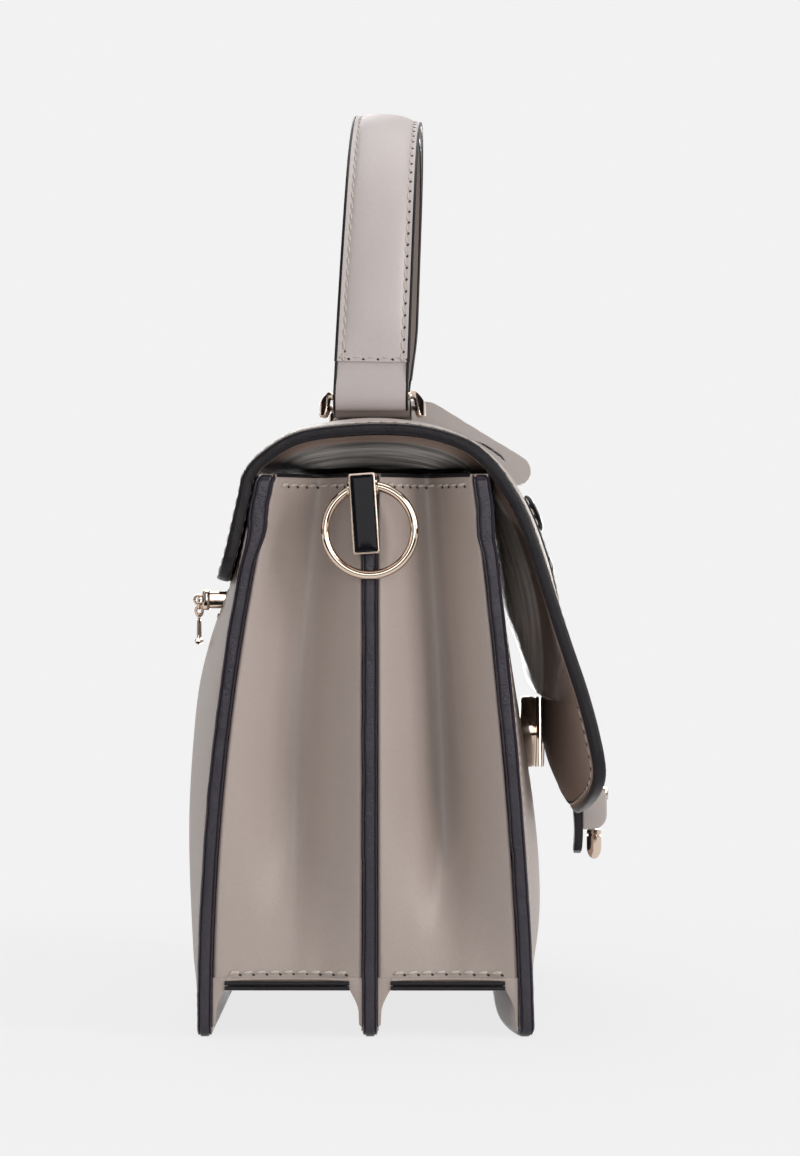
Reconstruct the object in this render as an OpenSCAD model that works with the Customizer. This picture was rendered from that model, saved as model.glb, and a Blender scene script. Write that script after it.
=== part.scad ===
// Top handle bag with three stiff leaves, two compartments, folded side gussets and a front flap.
// Z is up, X runs along the bag's width and the front faces -Y.
// The origin is the middle of the centre leaf's foot.

/* [Body] */
// Width of the bag from side to side
bag_w = 250; // [200:1:320]
// Height of the three leaves
leaf_h = 182; // [150:1:230]
// Distance from the centre leaf to the rear leaf at the foot
rear_w = 53.5; // [40:0.5:70]
// Distance from the centre leaf to the front leaf at the foot
front_w = 50.8; // [40:0.5:70]
// How far the rear leaf leans in at its top
rear_lean = 20; // [10:0.5:22]
// How far the front leaf leans in at its top
front_lean = 15; // [8:0.5:20]
// How far the rear leaf swells in the middle of its width
rear_bulge = 12; // [4:0.5:14]
// How far the front leaf swells in the middle of its width
front_bulge = 8; // [3:0.5:10]
// How far the front leaf is drawn in at the middle of its foot
front_pinch = 9; // [0:0.5:12]

/* [Leather] */
// Thickness of the leather
leather_t = 1.4; // [1:0.1:2]
// Thickness of the stiffening board in each leaf
board_t = 1.6; // [1:0.1:2.5]
// Thickness of the lining
lining_t = 1.1; // [0.8:0.1:1.6]
// Thickness of the dark edging over the cut edges
edging_t = 1.2; // [0.8:0.1:2]
// Gap left between glued layers
ply_gap = 0.1; // [0.05:0.01:0.2]
// Gap between a piece and what it is sewn or riveted to
seat_gap = 0.2; // [0.1:0.05:0.3]

/* [Gussets and base] */
// Width of the flange that sews a gusset to a leaf
flange_w = 8; // [5:0.5:12]
// How far the gusset folds into the bag
fold_depth = 12; // [6:0.5:16]
// Height of the underside of the base above the ground
base_z = 15.2; // [10:0.2:25]
// How much of each base corner is cut away
base_chamfer = 5; // [3:0.5:8]

/* [Flap] */
// How far the flap stands past each side of the bag
flap_overhang = 1; // [0.5:0.1:3]
// Distance from the top of the leaves down to the flap's hinge line
hinge_drop = 6; // [4:0.5:10]
// Height of the flap's lowest point
flap_tip_z = 67.4; // [55:0.5:90]
// Height over which the flap's foot is rounded
flap_tip_h = 24; // [18:0.5:40]
// Height of the flap's sewn end at the back, below its hinge line
anchor_h = 29; // [22:0.5:34]
// Height of the flap's crown above the leaves, in the middle
crown_h = 16.6; // [14:0.5:24]
// Height of the flap's crown above the leaves, at the sides
side_crown_h = 12.3; // [10:0.5:16]

/* [Handle] */
// Distance between the two handle tabs
tab_span = 122.5; // [90:0.5:150]
// Height of the handle arch above its bars
arch_h = 97; // [70:1:130]
// Width of the handle at its ends
handle_w = 26.4; // [20:0.2:32]
// Width of the handle at its top
handle_top_w = 25.6; // [18:0.2:32]
// Forward lean of the handle at its top
handle_lean = 5; // [0:0.5:10]
// Swell of the padding in the middle of the handle's width
pad_crown = 1.4; // [0:0.1:2.5]
// Radius of the handle rings' wire
wire_r = 1.5; // [1:0.1:2]
// Distance between the two long bars of a handle ring
ring_pitch = 9; // [8:0.5:14]
// Angle of a handle ring above the flap when the handle rests
ring_rest = 25; // [15:1:40]
// Corner radius of a handle ring's wire
ring_corner = 3; // [2:0.1:4]
// Running gap between a bar and the leather round it
bar_gap = 0.08; // [0.03:0.01:0.1]

/* [Side rings] */
// Radius of a side ring to the middle of its wire
side_ring_r = 14.2; // [10:0.1:20]
// Radius of a side ring's wire
side_wire_r = 1.75; // [1.2:0.05:2]
// Width of the bar clip
clip_w = 8.7; // [6:0.1:12]
// Length of the bar clip
clip_l = 26; // [20:0.5:34]
// Distance from the top of the leaves down to the hole that carries a side ring
clip_hole_drop = 4.4; // [4:0.1:30]

/* [Lock] */
// Radius of the lock
lock_r = 12.5; // [8:0.1:16]
// Height of the lock's centre
lock_z = 94; // [85:0.5:110]
// Thickness of the lock's socket
socket_t = 2.6; // [2.5:0.1:3.2]

/* [Zip] */
// Length of the pocket's zip
zip_l = 130; // [90:1:160]
// Distance from the flap's sewn end down to the middle of the zip
zip_drop = 6; // [6:0.5:15]
// Width of the zip's window
zip_w = 7; // [5:0.2:9]

/* [Belt] */
// Width of the belt over the flap
belt_w = 24; // [14:0.5:30]
// Thickness of the belt
belt_t = 2; // [1.4:0.1:3]

/* [Hidden] */

round_fn = 64;
small_fn = 32;
overrun = 2;

leaf_half = board_t / 2 + ply_gap + leather_t;
leaf_x = bag_w / 2 - edging_t - ply_gap;
leaf_foot = edging_t + ply_gap;
flap_w = bag_w + 2 * flap_overhang;
hinge_z = leaf_h - hinge_drop;
flap_end_z = hinge_z - anchor_h;
zip_z = flap_end_z - zip_drop;
clip_hole_z = leaf_h - clip_hole_drop;

// How each leaf leans and swells, as powers and shares of the leaf's height
rear_curve_share = 2.1;
front_curve_share = 1.5;
rear_swell_shares = [0.5, 0.6];
front_swell_shares = [0.3, 0.33];
pinch_share = 0.11;
swell_power_share = 4;

// Places of the rows and columns of the leaves, as shares
leaf_rows = 12;
leaf_column_shares = [-1, -0.9, -0.75, -0.55, -0.3, 0, 0.3, 0.55, 0.75, 0.9, 1];

function swell(z, shares) = exp(-pow((z / leaf_h - shares[0]) / shares[1], 2));
function across(x) = 1 - pow(abs(2 * x / bag_w), swell_power_share);
function rear_y(x, z) =
    rear_w - rear_lean * pow(z / leaf_h, rear_curve_share)
    + rear_bulge * swell(z, rear_swell_shares) * across(x);
function front_y(x, z) =
    -front_w + front_lean * pow(z / leaf_h, front_curve_share)
    - front_bulge * swell(z, front_swell_shares) * across(x)
    + front_pinch * swell(z, [0, pinch_share]) * across(x);
function rear_outside(x, z) = rear_y(x, z) + leaf_half;
function rear_inside(x, z) = rear_y(x, z) - leaf_half;
function front_outside(x, z) = front_y(x, z) - leaf_half;
function front_inside(x, z) = front_y(x, z) + leaf_half;

function blend(a, b, share) = a * (1 - share) + b * share;
function unit(v) = v / norm(v);
function joined(lists) = [for (list = lists) for (item = list) item];

// A closed sheet between two grids of points. The columns, then the rows, turn
// clockwise as seen from behind the front grid.
module sheet(front, back) {
    rows = len(front);
    columns = len(front[0]);
    count = rows * columns;
    faces = joined([
        [for (r = [0 : rows - 2]) for (c = [0 : columns - 2])
            let (a = r * columns + c, b = a + 1, d = a + columns, e = d + 1)
            each [[a, d, b], [b, d, e], [a + count, b + count, d + count],
                [b + count, e + count, d + count]]],
        [for (c = [0 : columns - 2])
            let (a = c, b = c + 1, d = count - columns + c, e = d + 1)
            each [[a, b, b + count], [a, b + count, a + count],
                [e, d, d + count], [e, d + count, e + count]]],
        [for (r = [0 : rows - 2])
            let (a = r * columns, d = a + columns, b = d - 1, e = b + columns)
            each [[d, a, a + count], [d, a + count, d + count],
                [b, e, e + count], [b, e + count, b + count]]]
    ]);
    polyhedron(points = concat(joined(front), joined(back)), faces = faces, convexity = 8);
}

// A closed bar through a row of rings, each with the same number of points
module loft(rings) {
    sides = len(rings[0]);
    last = (len(rings) - 1) * sides;
    faces = joined([
        [for (r = [0 : len(rings) - 2]) for (c = [0 : sides - 1])
            let (a = r * sides + c, b = r * sides + (c + 1) % sides, d = a + sides, e = b + sides)
            each [[a, d, b], [b, d, e]]],
        [for (c = [1 : sides - 2]) [0, c, c + 1]],
        [for (c = [1 : sides - 2]) [last, last + c + 1, last + c]]
    ]);
    polyhedron(points = joined(rings), faces = faces, convexity = 8);
}

// A leaf's grid of points, shifted along Y from its middle
function rear_grid(shift) = [for (r = [0 : leaf_rows]) [for (share = leaf_column_shares)
    let (x = -share * leaf_x, z = blend(leaf_foot, leaf_h, r / leaf_rows))
    [x, rear_y(x, z) + shift, z]]];
function front_grid(shift) = [for (r = [0 : leaf_rows]) [for (share = leaf_column_shares)
    let (x = share * leaf_x, z = blend(leaf_foot, leaf_h, r / leaf_rows))
    [x, front_y(x, z) - shift, z]]];

// The zip's window through every layer of the rear leaf
module zip_window() {
    translate([-zip_l / 2, 0, zip_z - zip_w / 2])
        cube([zip_l, rear_w + rear_bulge + leaf_half, zip_w]);
}

module back_panel() {
    color("#908785")
        difference() {
            sheet(rear_grid(leaf_half), rear_grid(leaf_half - leather_t));
            zip_window();
        }
}

module back_board() {
    color("#a89a80")
        difference() {
            sheet(rear_grid(board_t / 2), rear_grid(-board_t / 2));
            zip_window();
        }
}

module back_lining() {
    color("#5d4e47")
        difference() {
            sheet(rear_grid(leather_t - leaf_half), rear_grid(-leaf_half));
            zip_window();
        }
}

module front_panel() {
    color("#a5a0a0")
        sheet(front_grid(leaf_half), front_grid(leaf_half - leather_t));
}

module front_board() {
    color("#a89a80")
        sheet(front_grid(board_t / 2), front_grid(-board_t / 2));
}

module front_lining() {
    color("#5d4e47")
        sheet(front_grid(leather_t - leaf_half), front_grid(-leaf_half));
}

// Path of an edging down one side, along the foot and up the other side
edging_rows = 12;
function edging_path(inset) = concat(
    [for (r = [0 : edging_rows]) [-bag_w / 2 + inset, blend(leaf_h, inset, r / edging_rows)]],
    [for (c = [1 : len(leaf_column_shares) - 2]) [leaf_column_shares[c] * (bag_w / 2 - inset), inset]],
    [for (r = [0 : edging_rows]) [bag_w / 2 - inset, blend(inset, leaf_h, r / edging_rows)]]
);

// A dark edging that follows a leaf given by its shape function
module leaf_edging(leaf) {
    outer = edging_path(0);
    inner = edging_path(edging_t);
    loft([for (i = [0 : len(outer) - 1])
        let (p = outer[i], q = inner[i], a = leaf(p[0], p[1]), b = leaf(q[0], q[1]))
        [[p[0], a - leaf_half, p[1]], [p[0], a + leaf_half, p[1]],
            [q[0], b + leaf_half, q[1]], [q[0], b - leaf_half, q[1]]]]);
}

module back_edging() {
    color("#45424a")
        leaf_edging(function (x, z) rear_y(x, z));
}

module centre_edging() {
    color("#45424a")
        leaf_edging(function (x, z) 0);
}

module front_edging() {
    color("#45424a")
        leaf_edging(function (x, z) front_y(x, z));
}

module centre_divider() {
    color("#7d706a")
        difference() {
            translate([-leaf_x, -leaf_half, leaf_foot])
                cube([2 * leaf_x, 2 * leaf_half, leaf_h - leaf_foot]);
            translate([-leaf_x - overrun, -leaf_half + leather_t, leaf_foot - overrun])
                cube([2 * (leaf_x + overrun), board_t + 2 * ply_gap, leaf_h - leaf_foot - leather_t + overrun]);
        }
}

module centre_board() {
    color("#a89a80")
        translate([-leaf_x, -board_t / 2, leaf_foot])
            cube([2 * leaf_x, board_t, leaf_h - leaf_foot - leather_t - ply_gap]);
}

// Base strips. Each follows the leaves on both of its long sides
base_top = base_z + 2 * leather_t + ply_gap;
base_x = bag_w / 2 - edging_t;
base_column_shares = [-1, -0.95, -0.75, -0.4, 0, 0.4, 0.75, 0.95, 1];
function base_cut(share) = abs(share) == 1 ? base_chamfer : 0;
function mirrored_order(points) = [for (i = [len(points) - 1 : -1 : 0]) points[i]];

module base_strip(outline, foot, thick) {
    translate([0, 0, foot])
        linear_extrude(thick)
            polygon(outline);
}

function rear_base_outline() = concat(
    [for (share = base_column_shares)
        [share * base_x, leaf_half + seat_gap + base_cut(share)]],
    mirrored_order([for (share = base_column_shares)
        [share * base_x, rear_inside(share * base_x, base_z) - seat_gap - base_cut(share)]])
);
function front_base_outline() = concat(
    [for (share = base_column_shares)
        [share * base_x, front_inside(share * base_x, base_z) + seat_gap + base_cut(share)]],
    mirrored_order([for (share = base_column_shares)
        [share * base_x, -leaf_half - seat_gap - base_cut(share)]])
);

module rear_base() {
    color("#938580")
        base_strip(rear_base_outline(), base_z, leather_t);
}

module rear_base_board() {
    color("#5d4e47")
        base_strip(rear_base_outline(), base_z + leather_t + ply_gap, leather_t);
}

module front_base() {
    color("#938580")
        base_strip(front_base_outline(), base_z, leather_t);
}

module front_base_board() {
    color("#5d4e47")
        base_strip(front_base_outline(), base_z + leather_t + ply_gap, leather_t);
}

// Gussets. Each is a folded wall from one leaf to the next, with a flange on both
gusset_rows = 10;
gusset_steps = 10;
gusset_foot = base_top + seat_gap;
fold_rise_share = 0.45;
fold_floor_share = 0.25;
fold_power_share = 1.3;
function fold(z) =
    let (share = min(1, (z - gusset_foot) / (leaf_h - gusset_foot) / fold_rise_share))
    fold_depth * blend(fold_floor_share, 1, sin(90 * share));

// Plan of a gusset at one height, from the leaf at y_a to the leaf at y_b, inset by a depth
function gusset_plan(y_a, y_b, z, inset) = concat(
    [[-bag_w / 2 + edging_t + flange_w, y_a - inset]],
    [for (i = [0 : gusset_steps])
        let (share = i / gusset_steps, y = blend(y_a - inset, y_b + inset, share))
        [-bag_w / 2 + edging_t + inset + fold(z) * pow(sin(180 * share), fold_power_share), y]],
    [[-bag_w / 2 + edging_t + flange_w, y_b + inset]]
);
function gusset_grid(top_edge, low_edge, inset) = [for (r = [0 : gusset_rows])
    let (z = blend(gusset_foot, leaf_h, r / gusset_rows))
    [for (p = gusset_plan(top_edge(z), low_edge(z), z, inset)) [p[0], p[1], z]]];

module gusset(top_edge, low_edge) {
    sheet(gusset_grid(top_edge, low_edge, 0), gusset_grid(top_edge, low_edge, leather_t));
}

module near_rear_gusset() {
    color("#a79a93")
        gusset(function (z) rear_inside(bag_w / 2, z) - seat_gap, function (z) leaf_half + seat_gap);
}

module near_front_gusset() {
    color("#988a84")
        gusset(function (z) -leaf_half - seat_gap, function (z) front_inside(bag_w / 2, z) + seat_gap);
}

module far_rear_gusset() {
    mirror([1, 0, 0])
        near_rear_gusset();
}

module far_front_gusset() {
    mirror([1, 0, 0])
        near_front_gusset();
}

// The flap's inner face. Two paths from its tip over the top to its sewn end
// at the back, one in the middle and one at the sides, are blended across it.
flap_t = leather_t + ply_gap + lining_t + ply_gap + lining_t;
function drop(share) = blend(flap_tip_z, leaf_h, share);
function crown(share) = leaf_h + share * crown_h;
function side_crown(share) = leaf_h + share * side_crown_h;
function ahead(x, z, share) = [front_outside(x, z) - share * front_lift, z];
function over(x, share, z) = [blend(front_outside(x, leaf_h), rear_outside(x, leaf_h), share), z];
function behind(x, z, lift) = [rear_outside(x, z) + back_gap + lift, z];
back_gap = 0.4;
side_lift = 2;
// How far the middle of the flap stands off the front leaf at its highest
front_lift = 14.5;
bag_side = bag_w / 2;
middle_path = [
    ahead(0, drop(0), 0.879), ahead(0, drop(0.031), 0.702), ahead(0, drop(0.119), 0.5),
    ahead(0, drop(0.197), 0.466), ahead(0, drop(0.284), 0.57), ahead(0, drop(0.389), 0.753),
    ahead(0, drop(0.503), 0.925), ahead(0, drop(0.634), 1), ahead(0, drop(0.764), 0.911),
    ahead(0, drop(0.895), 0.67), ahead(0, drop(1), 0.299),
    over(0, 0.065, crown(0.51)), over(0, 0.227, crown(0.85)), over(0, 0.427, crown(1)),
    over(0, 0.625, crown(0.97)), over(0, 0.812, crown(0.77)), over(0, 0.952, crown(0.37)),
    behind(0, blend(hinge_z, leaf_h, 0.75), 0), behind(0, hinge_z, 0),
    behind(0, blend(hinge_z, flap_end_z, 0.35), 0), behind(0, blend(hinge_z, flap_end_z, 0.7), 0),
    behind(0, flap_end_z, 0)
];
side_path = [
    ahead(bag_side, drop(0), 1.661), ahead(bag_side, drop(0.031), 1.708), ahead(bag_side, drop(0.119), 1.736),
    ahead(bag_side, drop(0.197), 1.697), ahead(bag_side, drop(0.284), 1.601), ahead(bag_side, drop(0.389), 1.43),
    ahead(bag_side, drop(0.503), 1.198), ahead(bag_side, drop(0.634), 0.953), ahead(bag_side, drop(0.764), 0.738),
    ahead(bag_side, drop(0.878), 0.51), ahead(bag_side, drop(0.965), 0.201),
    over(bag_side, 0.021, side_crown(0.2)), over(bag_side, 0.123, side_crown(0.65)),
    over(bag_side, 0.313, side_crown(0.96)), over(bag_side, 0.556, side_crown(1)),
    over(bag_side, 0.813, side_crown(0.8)), over(bag_side, 0.962, side_crown(0.28)),
    behind(bag_side, blend(hinge_z, leaf_h, 0.7), side_lift * 0.4), behind(bag_side, hinge_z, side_lift * 0.4),
    behind(bag_side, blend(hinge_z, flap_end_z, 0.35), side_lift * 0.45),
    behind(bag_side, blend(hinge_z, flap_end_z, 0.7), side_lift * 0.6),
    behind(bag_side, flap_end_z, side_lift)
];
path_end = len(middle_path) - 1;
hinge_at = path_end - 3;
function on_path(share) = share * path_end;

function path_point(path, at) =
    let (i = min(path_end - 1, max(0, floor(at))), t = at - i,
        p = path[max(0, i - 1)], q = path[i], r = path[i + 1], s = path[min(path_end, i + 2)])
    0.5 * (2 * q + (r - p) * t + (2 * p - 5 * q + 4 * r - s) * t * t + (3 * q - p - 3 * r + s) * t * t * t);

function flap_point(x, at) =
    let (share = pow(min(1, abs(2 * x / flap_w)), swell_power_share),
        p = blend(path_point(middle_path, at), path_point(side_path, at), share))
    [x, p[0], p[1]];
slope_step = 0.02;
function flap_normal(x, at) = unit(cross(
    flap_point(x + slope_step, at) - flap_point(x - slope_step, at),
    flap_point(x, min(path_end, at + slope_step)) - flap_point(x, max(0, at - slope_step))));
function flap_shell(x, at, height) = flap_point(x, at) + height * flap_normal(x, at);

// Where the flap's rounded foot lies on its path, for a place across the flap
tip_lookup = [for (i = [0 : 8]) [path_point(middle_path, i)[1], i]];
tip_power_share = 3;
function tip_at(x, inset) =
    let (share = min(1, abs(x / (flap_w / 2 - inset))))
    lookup(flap_tip_z + flap_tip_h
        - (flap_tip_h - inset) * pow(1 - pow(share, tip_power_share), 1 / tip_power_share), tip_lookup);

flap_columns = 14;
flap_rows = 26;
function flap_x(c, inset) = -cos(180 * c / flap_columns) * (flap_w / 2 - inset);
function flap_grid(inset, height) = [for (r = [0 : flap_rows]) [for (c = [0 : flap_columns])
    let (x = flap_x(c, inset), start = tip_at(x, inset))
    flap_shell(x, blend(start, hinge_at, r / flap_rows), height)]];

module flap_layer(low, high) {
    inset = edging_t + ply_gap;
    sheet(flap_grid(inset, high), flap_grid(inset, low));
}

module flap_lining() {
    color("#5d4e47")
        flap_layer(0, lining_t);
}

module flap_board() {
    color("#a89a80")
        flap_layer(lining_t + ply_gap, 2 * lining_t + ply_gap);
}

module flap_panel() {
    color("#a9a09c")
        flap_layer(2 * (lining_t + ply_gap), flap_t);
}

// Rim of the flap, down one side, round the foot and up the other side
function flap_rim(inset, height) =
    let (grid = flap_grid(inset, height))
    concat([for (r = [flap_rows : -1 : 1]) grid[r][0]], grid[0],
        [for (r = [1 : flap_rows]) grid[r][flap_columns]]);

module flap_edging() {
    low_out = flap_rim(0, 0);
    high_out = flap_rim(0, flap_t);
    high_in = flap_rim(edging_t, flap_t);
    low_in = flap_rim(edging_t, 0);
    color("#3b373a")
        loft([for (i = [0 : len(low_out) - 1]) [low_out[i], low_in[i], high_in[i], high_out[i]]]);
}

// The flap's back end, sewn to the rear leaf below the hinge line
anchor_rows = 5;
hinge_slit = 0.4;
function anchor_grid(height) = [for (r = [0 : anchor_rows]) [for (c = [0 : flap_columns])
    flap_shell(flap_x(c, 0), blend(hinge_at, path_end, r / anchor_rows), height)
        - [0, 0, r == 0 ? hinge_slit : 0]]];

module flap_anchor() {
    color("#a9a09c")
        sheet(anchor_grid(flap_t), anchor_grid(0));
}

// Zip of the back pocket
tape_t = 0.8;
teeth_w = 4;
teeth_t = 1.2;
zip_y = rear_outside(zip_l / 2, zip_z) - leather_t;
zip_clear = 0.4;
slider_l = 8;
slider_t = 2.6;
slider_x = -zip_l / 2 + slider_l;
pocket_h = 90;
pocket_gap = 0.8;

module zip_tape() {
    color("#3a3638")
        translate([-zip_l / 2 + zip_clear, zip_y - tape_t, zip_z - zip_w / 2 + zip_clear])
            cube([zip_l - 2 * zip_clear, tape_t, zip_w - 2 * zip_clear]);
}

module zip_teeth() {
    color("#b8a493")
        translate([-zip_l / 2 + zip_clear, zip_y, zip_z - teeth_w / 2])
            cube([zip_l - 2 * zip_clear, teeth_t, teeth_w]);
}

module pocket_bag() {
    color("#3f3a36")
        sheet(pocket_grid(0), pocket_grid(lining_t));
}

function pocket_grid(depth) = [for (r = [0 : leaf_rows / 2]) [for (share = leaf_column_shares)
    let (x = -share * zip_l / 2, z = blend(zip_z - pocket_h, zip_z + zip_w, r / (leaf_rows / 2)))
    [x, rear_inside(x, z) - pocket_gap - depth, z]]];

// The slider rides outside the leaf, and its pull hangs clear of the leaf's swell
eye_r = 1.2;
pull_l = 14;
slider_y = zip_clear + max(rear_outside(0, zip_z), rear_outside(0, zip_z - pull_l - eye_r) - slider_t);
eye_wall = 0.9;
eye_y = slider_y + slider_t + eye_r;

module zip_slider() {
    color("#c9ab90")
        difference() {
            union() {
                translate([slider_x - slider_l / 2, slider_y, zip_z - zip_w / 2])
                    cube([slider_l, slider_t, zip_w]);
                translate([slider_x - eye_r, zip_y + teeth_t + zip_clear, zip_z - eye_r])
                    cube([2 * eye_r, slider_y - zip_y - teeth_t, 2 * eye_r]);
                translate([slider_x - eye_r, eye_y, zip_z])
                    rotate([0, 90, 0])
                        cylinder(r = eye_r + eye_wall, h = 2 * eye_r, $fn = small_fn);
            }
            translate([slider_x - slider_l, eye_y, zip_z])
                rotate([0, 90, 0])
                    cylinder(r = eye_r, h = 2 * slider_l, $fn = small_fn);
        }
}

pull_wire_r = 0.8;
pull_w = 7;
pull_grip_w = 14;

// A wire frame that hangs from the slider's eye and ends in a cross bar
module zip_pull() {
    pin_r = eye_r - bar_gap;
    color("#c9ab90")
        translate([slider_x, eye_y, zip_z])
            union() {
                translate([-pull_w / 2, 0, 0])
                    rotate([0, 90, 0])
                        cylinder(r = pin_r, h = pull_w, $fn = small_fn);
                for (side = [-1, 1])
                    translate([side * pull_w / 2, 0, 0])
                        sphere(r = pin_r, $fn = small_fn);
                for (side = [-1, 1])
                    translate([side * pull_w / 2, 0, -pull_l])
                        cylinder(r = pull_wire_r, h = pull_l, $fn = small_fn);
                translate([-pull_grip_w / 2, 0, -pull_l])
                    rotate([0, 90, 0])
                        cylinder(r = pin_r, h = pull_grip_w, $fn = small_fn);
            }
}

// Side clips and rings. The ring passes through a hole near the clip's head
clip_head = 9;
clip_plate_t = 2;
clip_back = 0.8;
ring_play = 0.15;
clip_hole_r = side_wire_r + clip_w * clip_w / (8 * side_ring_r) + ring_play;
clip_hole_x = -bag_w / 2 - seat_gap - clip_back - clip_hole_r;
clip_front = clip_hole_x - clip_hole_r - clip_plate_t;
clip_top = clip_hole_z + clip_head / 2;
inlay_rim = 1.2;
inlay_t = 0.8;
clip_foot = 4;

module near_side_clip() {
    color("#c9ab90")
        difference() {
            union() {
                translate([clip_front, -clip_w / 2, clip_top - clip_l])
                    cube([clip_plate_t, clip_w, clip_l]);
                translate([clip_front, -clip_w / 2, clip_top - clip_head])
                    cube([-bag_w / 2 - seat_gap - clip_front, clip_w, clip_head]);
                translate([clip_front, -clip_w / 2, clip_top - clip_l])
                    cube([-bag_w / 2 - seat_gap - clip_front, clip_w, clip_foot]);
            }
            translate([clip_hole_x, -clip_w, clip_hole_z])
                rotate([-90, 0, 0])
                    cylinder(r = clip_hole_r, h = 2 * clip_w, $fn = round_fn);
            translate([clip_front - overrun, -clip_w / 2 + inlay_rim, clip_top - clip_l + inlay_rim])
                cube([overrun + inlay_t, clip_w - 2 * inlay_rim, clip_l - 2 * inlay_rim]);
        }
}

module near_inlay() {
    color("#1c1b20")
        translate([clip_front, -clip_w / 2 + inlay_rim + ply_gap, clip_top - clip_l + inlay_rim + ply_gap])
            cube([inlay_t - ply_gap, clip_w - 2 * (inlay_rim + ply_gap), clip_l - 2 * (inlay_rim + ply_gap)]);
}

// The ring's wire bends inside the hole, so the ring hangs a little high
ring_drop = side_ring_r - clip_w * clip_w / (16 * side_ring_r);
module near_side_ring() {
    color("#c9ab90")
        translate([clip_hole_x, 0, clip_hole_z - ring_drop])
            rotate([0, 90, 0])
                rotate_extrude($fn = round_fn)
                    translate([side_ring_r, 0])
                        circle(r = side_wire_r, $fn = small_fn);
}

module far_side_clip() {
    mirror([1, 0, 0])
        near_side_clip();
}

module far_inlay() {
    mirror([1, 0, 0])
        near_inlay();
}

module far_side_ring() {
    mirror([1, 0, 0])
        near_side_ring();
}

// Lock. The socket sits on the front leaf and the plate inside the flap
socket_y = min(front_outside(0, lock_z), front_outside(0, lock_z - lock_r), front_outside(0, lock_z + lock_r))
    - seat_gap;
magnet_r = 8;
magnet_t = 1.8;
washer_t = 0.8;
plate_gap = 0.4;
lock_face_shares = [-1, -0.5, 0, 0.5, 1];
plate_y = seat_gap + max([for (share = lock_face_shares)
    flap_point(0, lookup(lock_z + share * lock_r, tip_lookup))[1]]);

module lock_disc(y, r, thick) {
    translate([0, y, lock_z])
        rotate([90, 0, 0])
            cylinder(r = r, h = thick, $fn = round_fn);
}

module lock_socket() {
    color("#b59a82")
        difference() {
            lock_disc(socket_y, lock_r, socket_t);
            lock_disc(socket_y + overrun, magnet_r, overrun + magnet_t);
        }
}

module lock_magnet() {
    color("#3b3a3c")
        lock_disc(socket_y, magnet_r - ply_gap, magnet_t - ply_gap);
}

module lock_washer() {
    inner = max(front_inside(0, lock_z), front_inside(0, lock_z - magnet_r), front_inside(0, lock_z + magnet_r));
    color("#8f8f92")
        lock_disc(inner + seat_gap + washer_t, magnet_r, washer_t);
}

module lock_plate() {
    color("#b59a82")
        lock_disc(socket_y - socket_t - plate_gap, lock_r, socket_y - socket_t - plate_gap - plate_y);
}

// Handle tabs on the crown of the flap, with the axes of the ring bars
tab_t = leather_t;
tab_r = wire_r + bar_gap;
tab_x = tab_span / 2;
tab_path_share = 0.619;
tab_foot = flap_shell(0, on_path(tab_path_share), flap_t)[2] + seat_gap;
tab_axis_z = tab_foot + tab_t + tab_r;
tab_l = 26;
tab_inset = 0.5;
tab_w = handle_w - 2 * tab_inset;
rivet_r = 4;
rivet_t = 1.2;
rivet_inset = 17;
rivet_x = tab_x - rivet_inset;

module handle_tab() {
    difference() {
        union() {
            translate([tab_x - tab_l, -tab_w / 2, tab_foot])
                cube([tab_l, tab_w, tab_t]);
            translate([tab_x, tab_w / 2, tab_axis_z])
                rotate([90, 0, 0])
                    cylinder(r = tab_r + tab_t, h = tab_w, $fn = round_fn);
        }
        translate([tab_x, tab_w, tab_axis_z])
            rotate([90, 0, 0])
                cylinder(r = tab_r, h = 2 * tab_w, $fn = round_fn);
    }
}

module far_handle_tab() {
    color("#a9a09c")
        handle_tab();
}

module near_handle_tab() {
    color("#a9a09c")
        mirror([1, 0, 0])
            handle_tab();
}

module tab_rivets() {
    color("#c9ab90")
        for (side = [-1, 1])
            translate([side * rivet_x, 0, tab_foot + tab_t + ply_gap])
                cylinder(r = rivet_r, h = rivet_t, $fn = small_fn);
}

// A handle ring, lying in the XY plane with one bar on the Y axis
ring_half = handle_w / 2 + seat_gap + ring_corner;
module wire_bar(length) {
    cylinder(r = wire_r, h = length, center = true, $fn = small_fn);
}

module handle_ring() {
    straight = 2 * (ring_half - ring_corner);
    for (x = [0, ring_pitch])
        translate([x, 0, 0])
            rotate([90, 0, 0])
                wire_bar(straight);
    for (side = [-1, 1])
        translate([ring_pitch / 2, side * ring_half, 0])
            rotate([0, 90, 0])
                wire_bar(ring_pitch - 2 * ring_corner);
    for (corner = [[ring_pitch - ring_corner, 1, 0], [ring_corner, 1, 90],
            [ring_corner, -1, 180], [ring_pitch - ring_corner, -1, 270]])
        translate([corner[0], corner[1] * (ring_half - ring_corner), 0])
            rotate([0, 0, corner[2]])
                rotate_extrude(angle = 90, $fn = round_fn)
                    translate([ring_corner, 0])
                        circle(r = wire_r, $fn = small_fn);
}

module near_handle_ring() {
    color("#d8bda4")
        translate([-tab_x, 0, tab_axis_z])
            rotate([0, 180 + ring_rest, 0])
                handle_ring();
}

module far_handle_ring() {
    color("#d8bda4")
        translate([tab_x, 0, tab_axis_z])
            rotate([0, 180 + ring_rest, 0])
                handle_ring();
}

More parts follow.
